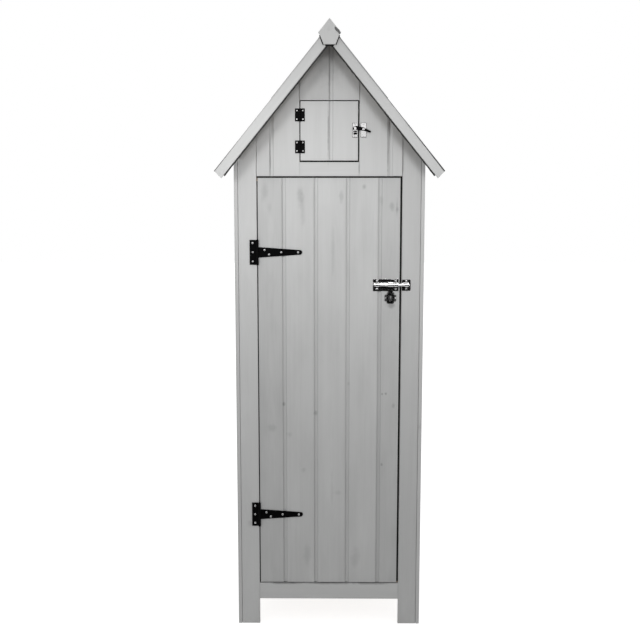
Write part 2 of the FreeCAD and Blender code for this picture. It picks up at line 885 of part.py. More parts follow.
def make_bolt():
    guide_radius = bolt_rod_radius + running_clearance
    plate = rounded_plate(
        bolt_plate_start, bolt_plate_end, bolt_height - bolt_plate_below,
        bolt_height + bolt_plate_above, bolt_plate_front, front_face, bolt_plate_corner,
    )
    bridge_places = (left_bridge_x, right_bridge_x)
    bridges = [guide_bridge(x_middle, guide_radius) for x_middle in bridge_places]
    plate = plate.fuse(bridges).removeSplitter()
    plate = plate.cut([rod_bore(x_middle, bridge_width, guide_radius) for x_middle in bridge_places])
    keep("bolt_plate", *drilled([plate], bolt_plate_screws(), large_shank_radius))

    keeper_radius = bolt_rod_radius + keeper_bore_clearance
    keeper = rounded_plate(
        keeper_start, keeper_start + keeper_width, bolt_height - keeper_below,
        bolt_height + keeper_above, bolt_plate_front, front_face, bolt_plate_corner,
    )
    keeper = keeper.fuse(guide_bridge(keeper_bridge_x, keeper_radius)).removeSplitter()
    keeper = keeper.cut(rod_bore(keeper_bridge_x, bridge_width, keeper_radius))
    keep("bolt_keeper", *drilled([keeper], keeper_screws(), large_shank_radius))

    rod_start = Vector(bolt_rod_start, bolt_axis_y, bolt_height)
    rod = Part.makeCylinder(bolt_rod_radius, bolt_rod_length, rod_start, Vector(1, 0, 0))
    end_rims = [edge for edge in rod.Edges if isinstance(edge.Curve, Part.Circle)]
    keep("bolt_rod", rod.makeChamfer(bolt_rod_chamfer, end_rims))


def make_large_screws():
    frame_screws = [large_screw(x, z, tee_screw_seat) for x, z in tee_plate_screws()]
    frame_screws += [large_screw(x, z, bolt_plate_front) for x, z in keeper_screws()]
    door_screws = [large_screw(x, z, tee_screw_seat) for x, z in strap_screws()]
    door_screws += [large_screw(x, z, bolt_plate_front) for x, z in bolt_plate_screws()]
    keep("frame_screws", *frame_screws)
    keep("door_screws", *door_screws)


def make_hasp():
    sleeve_half = hasp_sleeve_width / 2
    plate_back = bolt_axis_y + bolt_sleeve_radius
    plate_front = plate_back - hasp_thickness
    neck_outline = [
        (hasp_x - sleeve_half, bolt_height), (hasp_x + sleeve_half, bolt_height),
        (hasp_x + hasp_shoulder_half_width, bolt_height - hasp_shoulder_drop),
        (hasp_x + hasp_neck_half_width, bolt_height - hasp_neck_drop),
        (hasp_x + hasp_neck_half_width, hasp_ring_middle),
        (hasp_x - hasp_neck_half_width, hasp_ring_middle),
        (hasp_x - hasp_neck_half_width, bolt_height - hasp_neck_drop),
        (hasp_x - hasp_shoulder_half_width, bolt_height - hasp_shoulder_drop),
    ]
    neck = front_plate(neck_outline, plate_front, plate_back)
    ring = slot(
        hasp_x, hasp_ring_base, hasp_ring_top, hasp_ring_half_width, plate_front, plate_back
    )
    sleeve = rod_bore(hasp_x, hasp_sleeve_width, bolt_sleeve_radius)
    hasp = neck.fuse([ring, sleeve]).removeSplitter()
    eye_slot = slot(
        hasp_x, hasp_ring_middle - hasp_slot_height / 2, hasp_ring_middle + hasp_slot_height / 2,
        hasp_slot_half_width, plate_front, plate_back,
    )
    rod_passage = rod_bore(hasp_x, hasp_sleeve_width, bolt_rod_radius + running_clearance)
    keep("hasp", hasp.cut([eye_slot, rod_passage]))


def make_staple():
    plate = rounded_plate(
        hasp_x - staple_plate_half_width, hasp_x + staple_plate_half_width,
        hasp_ring_middle - staple_plate_height / 2, hasp_ring_middle + staple_plate_height / 2,
        bolt_plate_front, front_face, bolt_plate_corner,
    )
    lugs = rounded_plate(
        hasp_x - staple_lug_half_width, hasp_x + staple_lug_half_width,
        hasp_ring_middle - staple_lug_height / 2, hasp_ring_middle + staple_lug_height / 2,
        bolt_plate_front, front_face, bolt_plate_corner,
    )
    eye_start = hasp_x - staple_eye_thickness / 2
    hasp_front = bolt_plate_front - hasp_back_gap - hasp_thickness
    hole_y = hasp_front - staple_eye_hole_gap - staple_eye_hole_radius
    tip_y = hole_y - staple_eye_hole_radius - staple_eye_wall
    round_y = tip_y + staple_eye_half_height
    eye_foot = box(
        eye_start, eye_start + staple_eye_thickness, round_y, bolt_plate_front,
        hasp_ring_middle - staple_eye_half_height, hasp_ring_middle + staple_eye_half_height,
    )
    eye_round = Part.makeCylinder(
        staple_eye_half_height, staple_eye_thickness,
        Vector(eye_start, round_y, hasp_ring_middle), Vector(1, 0, 0),
    )
    hole = Part.makeCylinder(
        staple_eye_hole_radius, staple_eye_thickness,
        Vector(eye_start, hole_y, hasp_ring_middle), Vector(1, 0, 0),
    )
    staple = plate.fuse([lugs, eye_foot, eye_round]).removeSplitter().cut(hole)
    keep("hasp_staple", *drilled([staple], staple_screws(), small_shank_radius))
    keep("staple_screws", *[small_screw(x, z, bolt_plate_front) for x, z in staple_screws()])


# Hatch

def make_hatch():
    boards = panel("front", [hatch_left, 0.0, hatch_right], hatch_base, hatch_top)
    places = butt_screws(1) + catch_screws(stud_x)
    keep("hatch_boards", *drilled(boards, places, small_shank_radius))
    ledge_start = hatch_left + hatch_ledge_end_setback
    ledge_end = hatch_right - hatch_ledge_end_setback
    ledge_bases = (
        hatch_base + hatch_ledge_edge_distance,
        hatch_top - hatch_ledge_edge_distance - hatch_ledge_width,
    )
    keep("hatch_ledges", *[
        box(
            ledge_start, ledge_end, front_board_back, front_board_back + hatch_ledge_thickness,
            base, base + hatch_ledge_width,
        )
        for base in ledge_bases
    ])


def make_butt_hinges():
    frame_leaves = []
    hatch_leaves = []
    pins = []
    for height in butt_heights:
        base = height - butt_leaf_length / 2
        share = butt_leaf_length / butt_knuckle_count
        inset = knuckle_end_gap / 2
        spans = [
            (base + index * share + inset, base + (index + 1) * share - inset)
            for index in range(butt_knuckle_count)
        ]
        wide_spans = [(low - knuckle_end_gap, high + knuckle_end_gap) for low, high in spans]
        for side, own, leaves in ((-1, 0, frame_leaves), (1, 1, hatch_leaves)):
            leaf_x = sorted((butt_pin_x, butt_pin_x + side * butt_leaf_reach))
            leaf = box(*leaf_x, butt_screw_seat, front_face, base, base + butt_leaf_length)
            leaves.append(hinge_leaf(
                leaf, butt_pin_x, butt_pin_y, butt_knuckle_radius, spans[own::2],
                wide_spans[1 - own::2], butt_pin_radius,
            ))
        pin_base = Vector(butt_pin_x, butt_pin_y, base)
        pins.append(Part.makeCylinder(butt_pin_radius, butt_leaf_length, pin_base))
    keep("hatch_hinge_frame_leaves", *drilled(frame_leaves, butt_screws(-1), small_shank_radius))
    keep("hatch_hinge_door_leaves", *drilled(hatch_leaves, butt_screws(1), small_shank_radius))
    keep("hatch_hinge_pins", *pins)


# Catch of the hatch

def make_catch():
    plate_top = catch_plate_base + catch_plate_height
    stud_plate = rounded_plate(
        stud_plate_start, stud_plate_end, catch_plate_base, plate_top, catch_front, front_face,
        catch_plate_corner,
    )
    pivot_plate = rounded_plate(
        pivot_plate_start, pivot_plate_start + pivot_plate_width, catch_plate_base, plate_top,
        catch_front, front_face, catch_plate_corner,
    )
    stud_head_back = arm_front - stud_head_gap
    stud = disc(stud_x, stud_z, stud_radius, stud_head_back, catch_front)
    stud_head = disc(
        stud_x, stud_z, pivot_head_radius, stud_head_back - pivot_head_height, stud_head_back
    )
    stud_plate = stud_plate.fuse([stud, stud_head]).removeSplitter()
    keep("catch_stud_plate", *drilled([stud_plate], catch_screws(stud_x), small_shank_radius))
    keep("catch_pivot_plate", *drilled([pivot_plate], catch_screws(pivot_x), small_shank_radius))
    boss = disc(pivot_x, pivot_z, pivot_boss_radius, catch_front - pivot_boss_height, catch_front)
    shank = disc(pivot_x, pivot_z, pivot_shank_radius, arm_front - arm_face_gap, catch_front)
    head_back = arm_front - arm_face_gap
    head = disc(pivot_x, pivot_z, pivot_head_radius, head_back - pivot_head_height, head_back)
    keep("catch_pivot", boss.fuse([shank, head]).removeSplitter())
    keep("hatch_frame_screws", *[
        small_screw(x, z, seat)
        for places, seat in (
            (butt_screws(-1), butt_screw_seat), (catch_screws(pivot_x), catch_front)
        )
        for x, z in places
    ])
    keep("hatch_screws", *[
        small_screw(x, z, seat)
        for places, seat in (
            (butt_screws(1), butt_screw_seat), (catch_screws(stud_x), catch_front)
        )
        for x, z in places
    ])


def make_catch_arm():
    hook_radius = stud_radius + hook_clearance
    outer = hook_radius + hook_wall
    tip_z = stud_z - hook_overhang
    outline = [
        (pivot_x, pivot_z + arm_root_half_width),
        (stud_x + outer, stud_z + outer),
        (stud_x, stud_z + outer),
        (stud_x - outer, stud_z + hook_radius),
        (stud_x - outer, tip_z),
        (stud_x + outer, tip_z),
        (pivot_x, pivot_z - arm_root_half_width),
    ]
    arm = front_plate(outline, arm_front, arm_back)
    hub = disc(pivot_x, pivot_z, arm_hub_radius, arm_front, arm_back)
    tail_x = pivot_x + tail_reach
    tail_z = pivot_z - tail_drop
    tail_outline = [
        (pivot_x, pivot_z + arm_root_half_width), (tail_x, tail_z + tail_end_radius),
        (tail_x, tail_z - tail_end_radius), (pivot_x, pivot_z - arm_root_half_width),
    ]
    tail = front_plate(tail_outline, arm_front, arm_back)
    tail_end = disc(tail_x, tail_z, tail_end_radius, arm_front, arm_back)
    arm = arm.fuse([hub, tail, tail_end]).removeSplitter()
    notch = box(
        stud_x - hook_radius, stud_x + hook_radius, arm_front, arm_back,
        tip_z - outer, stud_z,
    )
    notch_top = disc(stud_x, stud_z, hook_radius, arm_front, arm_back)
    pivot_hole = disc(
        pivot_x, pivot_z, pivot_shank_radius + running_clearance, arm_front, arm_back
    )
    keep("catch_arm", arm.cut([notch, notch_top, pivot_hole]))


make_corners()
make_walls()
make_front_gable()
make_frame()
make_floor_and_shelves()
make_roof()
make_bargeboards()
make_door()
make_tee_hinges()
make_bolt()
make_large_screws()
make_hasp()
make_staple()
make_hatch()
make_butt_hinges()
make_catch()
make_catch_arm()

for name, solids in nodes.items():
    shape = solids[0] if len(solids) == 1 else Part.makeCompound(solids)
    shape.exportStep("parts/" + name + ".step")

print("Wrote", len(nodes), "sub-parts with", sum(len(s) for s in nodes.values()), "solids")
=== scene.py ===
import json
import math
import random

import bmesh
import bpy
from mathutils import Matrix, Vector


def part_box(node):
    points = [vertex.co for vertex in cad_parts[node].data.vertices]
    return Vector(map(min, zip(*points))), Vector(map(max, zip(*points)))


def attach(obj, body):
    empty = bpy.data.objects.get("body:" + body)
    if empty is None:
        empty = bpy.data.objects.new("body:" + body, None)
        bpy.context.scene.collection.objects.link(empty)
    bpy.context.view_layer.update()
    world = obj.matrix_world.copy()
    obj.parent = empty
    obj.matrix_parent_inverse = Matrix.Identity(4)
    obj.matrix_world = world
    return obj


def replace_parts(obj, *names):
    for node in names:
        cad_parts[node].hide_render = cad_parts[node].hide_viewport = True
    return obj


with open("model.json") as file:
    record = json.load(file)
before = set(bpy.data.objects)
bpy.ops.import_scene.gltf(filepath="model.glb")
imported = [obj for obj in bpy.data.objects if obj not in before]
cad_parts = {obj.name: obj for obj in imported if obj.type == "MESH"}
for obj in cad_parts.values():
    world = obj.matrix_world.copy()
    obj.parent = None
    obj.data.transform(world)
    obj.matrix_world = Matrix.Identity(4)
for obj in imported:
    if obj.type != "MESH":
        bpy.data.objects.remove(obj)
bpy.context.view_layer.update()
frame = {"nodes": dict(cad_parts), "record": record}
nodes = frame["nodes"]
record = frame["record"]
bodyOf = {node: body for body, names in record["behaviour"]["bodies"].items() for node in names}
slotOf = {part["node"]: part["material_slot"] for part in record["subparts"]}
mm = 0.001


# shader nodes written as plain maths
class Wire:
    def __init__(self, finish, socket):
        self.finish = finish
        self.socket = socket

    def maths(self, operation, *others):
        return self.finish.maths(operation, self, *others)

    def __add__(self, other):
        return self.maths("ADD", other)

    def __sub__(self, other):
        return self.maths("SUBTRACT", other)

    def __mul__(self, other):
        return self.maths("MULTIPLY", other)

    def __truediv__(self, other):
        return self.maths("DIVIDE", other)

    def __rsub__(self, other):
        return self.finish.maths("SUBTRACT", other, self)

    def __rtruediv__(self, other):
        return self.finish.maths("DIVIDE", other, self)

    __radd__ = __add__
    __rmul__ = __mul__

    def rising(self, low, high):
        # 0 below low, 1 above high, smooth between; low may be the larger
        inputs = {"Value": self, "From Min": low, "From Max": high}
        return self.finish.node("ShaderNodeMapRange", {"interpolation_type": "SMOOTHSTEP"}, inputs)

    def swing(self, size):
        # a value from 0 to 1 as a shift to either side
        return (self - 0.5) * size

    def beside(self, name):
        # another output of the same node
        return Wire(self.finish, self.socket.node.outputs[name])


class Finish:
    def __init__(self, owner):
        owner.use_nodes = True
        self.owner = owner
        self.tree = owner.node_tree
        self.tree.nodes.clear()

    def node(self, kind, settings, inputs, output=0):
        made = self.tree.nodes.new(kind)
        for setting, value in settings.items():
            setattr(made, setting, value)
        for socket, value in inputs.items():
            if isinstance(value, Wire):
                self.tree.links.new(value.socket, made.inputs[socket])
            else:
                made.inputs[socket].default_value = value
        return None if output is None else Wire(self, made.outputs[output])

    def maths(self, operation, *values):
        return self.node("ShaderNodeMath", {"operation": operation}, dict(enumerate(values)))

    def mixed(self, factor, first, second):
        # sockets 6 and 7 are the two colours of a Mix node, and output 2 is its colour; the factor
        # isn't clamped, so that a shade below 0 makes a surface paler than its tone
        settings = {"data_type": "RGBA", "clamp_factor": False}
        return self.node("ShaderNodeMix", settings, {0: factor, 6: first, 7: second}, 2)

    def vector(self, operation, first, second=(0, 0, 0), output=0):
        inputs = {0: first, 1: second}
        return self.node("ShaderNodeVectorMath", {"operation": operation}, inputs, output)

    def length(self, vector):
        return self.vector("LENGTH", vector, output="Value")

    def parts(self, vector):
        # the three numbers of a vector
        split = self.node("ShaderNodeSeparateXYZ", {}, {"Vector": vector})
        return [Wire(self, socket) for socket in split.socket.node.outputs]

    def stored(self, name, output):
        return self.node("ShaderNodeAttribute", {"attribute_name": name}, {}, output)

    def place(self):
        return self.node("ShaderNodeTexCoord", {}, {}, "Object")

    def noise(self, place, scale, detail=2.0, roughness=0.5, stretch=None):
        if stretch:
            place = self.vector("MULTIPLY", place, stretch)
        inputs = {"Vector": place, "Scale": scale, "Detail": detail, "Roughness": roughness}
        return self.node("ShaderNodeTexNoise", {}, inputs, "Fac")

    def bump(self, height, depth, strength):
        inputs = {"Height": height, "Distance": depth, "Strength": strength}
        return self.node("ShaderNodeBump", {}, inputs)

    def whiteRays(self):
        # 1 for what the camera, gloss and glass see
        rays = self.node("ShaderNodeLightPath", {}, {}, "Is Camera Ray")
        glossy, clear = rays.beside("Is Glossy Ray"), rays.beside("Is Transmission Ray")
        return rays.maths("MAXIMUM", glossy).maths("MAXIMUM", clear)

    def surface(self, inputs):
        self.output(self.node("ShaderNodeBsdfPrincipled", {}, inputs, "BSDF"))
        return self.owner

    def output(self, shader):
        isWorld = isinstance(self.owner, bpy.types.World)
        kind = "ShaderNodeOutputWorld" if isWorld else "ShaderNodeOutputMaterial"
        self.node(kind, {}, {"Surface": shader}, None)


def newFinish(name):
    return Finish(bpy.data.materials.new(name))


def grey(value):
    return (value, value, value, 1.0)


# studio: white floor that keeps the cabinet's shadow, white surround, a dark card that only gloss
# sees, and two narrow lamps high in front; the card's side is a line of Y and Z pairs
studio = {"floorHalf": 15.0, "floorTone": 0.85, "floorSeenTone": 0.45, "floorGlow": 0.86, "fillTone": 0.677,
          "cardHalf": 2.3, "cardTone": 0.004, "cardSide": ((-0.8, 0.004), (-4.6, 0.004), (-4.6, 1.76))}
lamps = {"leftLamp": {"place": (-1.6, -2.2, 1.9), "aim": (-0.28, -0.19, 1.62), "size": (0.6, 0.6),
                      "spread": 26.0, "power": 0.585},
         "rightLamp": {"place": (0.5, -2.6, 2.6), "aim": (0.10, -0.19, 1.30), "size": (1.0, 0.7),
                       "spread": 36.0, "power": 1.65}}


def stageStrip(name, half, side):
    # a strip twice as wide as half that follows a line of Y and Z pairs
    points = [(x, y, z) for y, z in side for x in (-half, half)]
    faces = [(step, step + 1, step + 3, step + 2) for step in range(0, len(points) - 2, 2)]
    mesh = bpy.data.meshes.new(name)
    mesh.from_pydata(points, [], faces)
    strip = bpy.data.objects.new(name, mesh)
    bpy.context.collection.objects.link(strip)
    return strip


def makeLamp(name, lamp):
    data = bpy.data.lights.new(name, "AREA")
    data.shape = "RECTANGLE"
    data.size, data.size_y = lamp["size"]
    data.energy = lamp["power"]
    data.spread = math.radians(lamp["spread"])
    light = bpy.data.objects.new(name, data)
    bpy.context.collection.objects.link(light)
    light.location = lamp["place"]
    aim = Vector(lamp["aim"]) - Vector(lamp["place"])
    light.rotation_euler = aim.to_track_quat("-Z", "Y").to_euler()
    light.visible_camera = False


def makeFloor():
    half = studio["floorHalf"]
    floor = stageStrip("floor", half, ((-half, 0.0), (half, 0.0)))
    finish = newFinish("whiteFloor")
    seen = finish.whiteRays()
    tone = finish.mixed(seen, grey(studio["floorTone"]), grey(studio["floorSeenTone"]))
    matt = finish.node("ShaderNodeBsdfDiffuse", {}, {"Color": tone})
    strength = seen * studio["floorGlow"]
    glow = finish.node("ShaderNodeEmission", {}, {"Color": grey(1.0), "Strength": strength})
    finish.output(finish.node("ShaderNodeAddShader", {}, {0: matt, 1: glow}))
    floor.data.materials.append(finish.owner)
    return floor


def makeCard():
    card = stageStrip("dark_card", studio["cardHalf"], studio["cardSide"])
    finish = newFinish("darkCard")
    finish.output(finish.node("ShaderNodeBsdfDiffuse", {}, {"Color": grey(studio["cardTone"])}))
    card.data.materials.append(finish.owner)
    card.visible_camera = False  # only gloss sees it, as metal mirrors a dark studio
    card.visible_diffuse = False
    card.visible_shadow = False
    return card


def makeStudio():
    floor, card = makeFloor(), makeCard()
    world = bpy.data.worlds.new("studioSurround")
    bpy.context.scene.world = world
    finish = Finish(world)
    strength = finish.whiteRays().maths("MAXIMUM", studio["fillTone"])
    finish.output(finish.node("ShaderNodeBackground", {}, {"Color": grey(1.0), "Strength": strength}))
    for name, lamp in lamps.items():
        makeLamp(name, lamp)


# the photograph was taken 3.3 m in front of the door, level with its top, looking 8 degrees down
view = {"place": (0.0, -3.490, 1.5304), "tilt": 82.0, "turn": 0.533, "lens": 56.25, "sensor": 36.0}


def makeCamera():
    data = bpy.data.cameras.new("camera")
    data.lens = view["lens"]
    data.sensor_width = view["sensor"]
    camera = bpy.data.objects.new("camera", data)
    bpy.context.collection.objects.link(camera)
    camera.location = view["place"]
    camera.rotation_euler = (math.radians(view["tilt"]), 0, math.radians(view["turn"]))
    bpy.context.scene.camera = camera


makeStudio()
makeCamera()
bpy.context.scene.view_settings.view_transform = "Standard"
print("studio and camera placed")


# softwood: grain runs along each board, with knots, streaks and clouds, under paint or bare; each
# share says how far something takes the wood from its tone towards its dark colour
door = {"tone": (0.500, 0.503, 0.500), "dark": (0.378, 0.380, 0.378), "ringShare": 0.07,
        "streakShare": 0.16, "cloudShare": 0.26, "knotShare": 0.5, "knotChance": 0.0,
        "edgeShare": 0.5, "scoopShadeShare": 0.55, "boardSpread": 0.05, "markShare": 1.35,
        "roughness": 0.50, "relief": 0.14 * mm}
trim = {"tone": (0.525, 0.528, 0.525), "dark": (0.40, 0.402, 0.40), "ringShare": 0.05,
        "streakShare": 0.12, "cloudShare": 0.12, "knotShare": 0.35, "knotChance": 0.16,
        "edgeShare": 0.4, "scoopShadeShare": 0.55, "boardSpread": 0.03, "markShare": 1.2,
        "roughness": 0.50, "relief": 0.10 * mm}
bare = {"tone": (0.62, 0.46, 0.29), "dark": (0.36, 0.21, 0.10), "ringShare": 0.34,
        "streakShare": 0.22, "cloudShare": 0.16, "knotShare": 0.95, "knotChance": 0.45,
        "edgeShare": 0.1, "scoopShadeShare": 0.2, "boardSpread": 0.08,
        "roughness": 0.62, "relief": 0.20 * mm}
wall = {**trim, "cloudShare": 0.20, "knotShare": 0.55, "knotChance": 0.24, "boardSpread": 0.08}
# the bare pine darkened for the roof boards' underside: painted shade under the roof, which also keeps the
# light bounced from it low
soffit = {**bare, "tone": (0.33, 0.25, 0.165), "dark": (0.17, 0.11, 0.06)}

# noises of the grain: scale per metre, and stretch across, through and along a board
grain = {"wobble": {"scale": 60.0},
         "fine": {"scale": 90.0, "stretch": (1.0, 1.0, 0.12)},
         "streak": {"scale": 55.0, "detail": 4.0, "roughness": 0.6, "stretch": (1.0, 1.0, 0.035)},
         "fibre": {"scale": 520.0, "detail": 3.0, "roughness": 0.65, "stretch": (1.0, 1.0, 0.035)},
         "cloud": {"scale": 13.0, "detail": 3.0, "roughness": 0.55, "stretch": (1.0, 1.0, 0.30)},
         "wander": {"scale": 1.5, "detail": 1.0, "stretch": (1.0, 1.0, 0.9)},
         "sway": {"scale": 1.0, "stretch": (6.0, 6.0, 1.6)}}
boardShift = (7.3, 31.7, 93.1)  # how far a board's seed moves it through the grain, in metres
shading = {"streak": (0.32, 0.72), "cloud": (0.44, 0.74), "edgeShare": 0.30, "endShare": 0.30,
           "boardStep": 17.0, "deepest": 1.7}
pale = {"cloud": (0.46, 0.22), "cloudShare": 0.35, "fibre": (0.55, 0.75), "fibreShare": 0.10, "gain": 1.13}
relief = {"ring": -0.35, "fibre": 0.45, "streak": 0.6, "knot": 0.8, "end": 0.6, "strength": 0.9}
sheen = {"streak": 0.14, "knot": -0.08, "level": 0.35}

# knots, one at most in each cell: cells per metre across, through and along, and sizes as shares
# of the radius; core, rim and pull say where each begins to show and where it is full
knots = {"cells": (9.0, 1.0, 2.6), "scatter": 0.75, "radius": 8.5 * mm, "smallest": 0.45, "more": 0.75,
         "shape": (1.0, 0.0, 0.62), "wobble": 6 * mm, "core": (1.15, 0.55), "rim": (1.9, 1.0),
         "rimShare": 0.35, "pull": (2.6, 0.0), "pullTurns": 9.0, "chanceStep": 0.02}
growth = {"ring": 4.6 * mm, "pithSpread": 70 * mm, "pithDepth": 28 * mm, "sway": 30 * mm,
          "wander": 60 * mm, "knotPush": 6 * mm, "fineTurns": 2.5}
# how far the boards darken towards their sides and ends, and the depths between which a scoop carries its
# painted shade
darkening = {"side": 10 * mm, "sideWave": 8 * mm, "end": 22 * mm, "endWave": 12 * mm,
        "scoopShadeStart": (0.0, 0.3 * mm), "scoopShadeEnd": (2.4 * mm, 1.3 * mm)}

# marks on the door and on the gable and frame: X and Z in mm, half width, half height and strength; a
# negative one is paler, and each fades out past its half size. Most of the door's marks show through its
# paint, but the one under the hasp is a painted shadow and the one along the latch edge is a painted
# highlight. All of the gable's and frame's marks are painted shade, along seams and gaps, under the roof's
# apex and along the rail's top beneath the door
doorMarks = {"topPatch": (-96, 1478, 11, 34, 0.55), "topStreak": (-88, 1430, 8, 60, 0.30),
             "besideSeam": (39, 1475, 7, 20, 0.50), "topKnot": (114, 1507, 6, 9, 0.75),
             "cornerCloud": (206, 1442, 9, 16, 0.55), "cornerCloudLow": (223, 1432, 6, 10, 0.45),
             "rightPatch": (170, 1462, 8, 14, 0.30), "hingeCloud": (-212, 1293, 16, 12, 0.40),
             "centreKnot": (65, 850, 5, 8, 0.35), "pinKnotLeft": (178, 815, 4, 4, 0.95),
             "pinKnotRight": (191, 816, 4, 4, 0.95), "smallCloud": (217, 775, 6, 9, 0.55),
             "seamKnot": (-153, 779, 5, 7, 1.00), "secondSeamKnot": (-45, 748, 7, 8, 0.80),
             "palePatch": (-193, 698, 14, 16, 0.35), "ringCloud": (-135, 675, 10, 10, 0.35),
             "midPatch": (-86, 551, 8, 10, 0.40), "lowKnot": (179, 570, 4, 6, 0.85),
             # the mark under the hasp on the next line is a painted shadow of its ring
             "footCloud": (-75, 245, 14, 40, 0.35), "haspShadow": (206, 1117, 13, 12, 0.95),
             "hingeSideCloud": (-214, 1490, 12, 30, 0.35), "hingeSideLow": (-196, 1440, 8, 22, 0.25),
             "centreStreak": (12, 1300, 6, 80, 0.30), "cornerLine": (222, 1440, 3, 30, 0.45),
             "footShade": (90, 240, 16, 36, 0.35), "lowStreak": (10, 480, 5, 60, 0.25),
             # the last mark, along the door's latch edge, is a painted highlight
             "centreCloud": (30, 470, 12, 9, 0.30), "latchEdgeHighlight": (231.4, 850, 1.3, 520, -0.8)}
# all marks of the gable and frame are painted shade
trimShadeMarks = {"gableSeam": (-1, 1864, 2.2, 85, 1.7), "gableTopShade": (0, 1908, 62, 66, 0.60),
             "aboveHatchLeft": (-98, 1826, 2.0, 44, 1.4), "aboveHatchRight": (98.5, 1826, 2.2, 44, 0.9),
             "belowHatchRight": (97, 1566, 2.2, 24, 1.4), "hatchSeam": (-4, 1686, 2.2, 97, 1.6),
             "rightSeam": (190.5, 1640, 2.6, 105, 1.7), "rightSeamTop": (190.5, 1710, 3.0, 45, 1.5),
             "postEdgeRight": (240.5, 1600, 2.2, 62, 1.5), "leftSeam": (-193.5, 1600, 2.2, 70, 1.2),
             "railTop": (0, 144.8, 88, 2.8, 2.0), "latchPostEdge": (239.7, 850, 1.5, 520, 1.7),
             "railTopLeft": (-150, 144.8, 58, 2.8, 2.0), "railTopRight": (150, 144.8, 58, 2.8, 2.0)}
marking = {"front": -188 * mm, "depth": 60 * mm, "wobble": 1.1, "fade": (1.4, 0.2)}


def knotsIn(finish, look, place, wobble):
    # a knot's core, its rim, and the pull on the rings round it
    cell = finish.vector("MULTIPLY", place, knots["cells"])
    inputs = {"Vector": cell, "Scale": 1.0, "Randomness": knots["scatter"]}
    spots = finish.node("ShaderNodeTexVoronoi", {}, inputs, "Position")
    centre = finish.vector("DIVIDE", spots, knots["cells"])
    chance = finish.parts(spots.beside("Color"))
    offset = finish.vector("MULTIPLY", finish.vector("SUBTRACT", place, centre), knots["shape"])
    away = finish.length(offset) + wobble.swing(knots["wobble"])
    least = 1 - look["knotChance"]
    present = chance[0].rising(least, least + knots["chanceStep"])
    reach = away / ((chance[1] * knots["more"] + knots["smallest"]) * knots["radius"])
    return [reach.rising(*knots[part]) * present for part in ("core", "rim", "pull")]


def growthRings(finish, place, across, through, seed, fine, rim, pull):
    # rings round a pith that wanders along the board and bends round the knots
    wander = finish.noise(place, **grain["wander"])
    sway = finish.noise(place, **grain["sway"])
    pithAcross = across - seed.swing(growth["pithSpread"]) + sway.swing(growth["sway"])
    pithThrough = through + growth["pithDepth"] + wander.swing(growth["wander"]) + rim * growth["knotPush"]
    span = (pithAcross * pithAcross + pithThrough * pithThrough).maths("SQRT")
    turns = span * (2 * math.pi / growth["ring"]) + fine * growth["fineTurns"] + pull * knots["pullTurns"]
    ring = turns.maths("SINE") * 0.5 + 0.5
    return ring * ring


def boardDarkening(finish, middle, half, through, streak, fine):
    # darker towards the sides and ends, and painted shade in the shallow part of a scoop and of an eased
    # edge, a thin line where a scoop meets the face
    edges = finish.parts(finish.vector("SUBTRACT", half, finish.vector("ABSOLUTE", middle)))
    nearSide = (edges[0] + streak.swing(darkening["sideWave"])).rising(darkening["side"], 0.0)
    nearEnd = (edges[2] + fine.swing(darkening["endWave"])).rising(darkening["end"], 0.0)
    depth = through + finish.parts(half)[1]
    scoop = depth.rising(*darkening["scoopShadeStart"]) * depth.rising(*darkening["scoopShadeEnd"])
    return nearSide.maths("MAXIMUM", nearEnd), scoop


def markedShade(finish, shade, look, marks, wobble):
    place = finish.place()
    for x, z, halfWidth, halfHeight, strength in marks.values():
        offset = finish.vector("SUBTRACT", place, (x * mm, marking["front"], z * mm))
        scale = (1 / (halfWidth * mm), 1 / marking["depth"], 1 / (halfHeight * mm))
        away = finish.length(finish.vector("MULTIPLY", offset, scale))
        mark = (away + wobble.swing(marking["wobble"])).rising(*marking["fade"])
        shade = shade + mark * (strength * look["markShare"])
    return shade


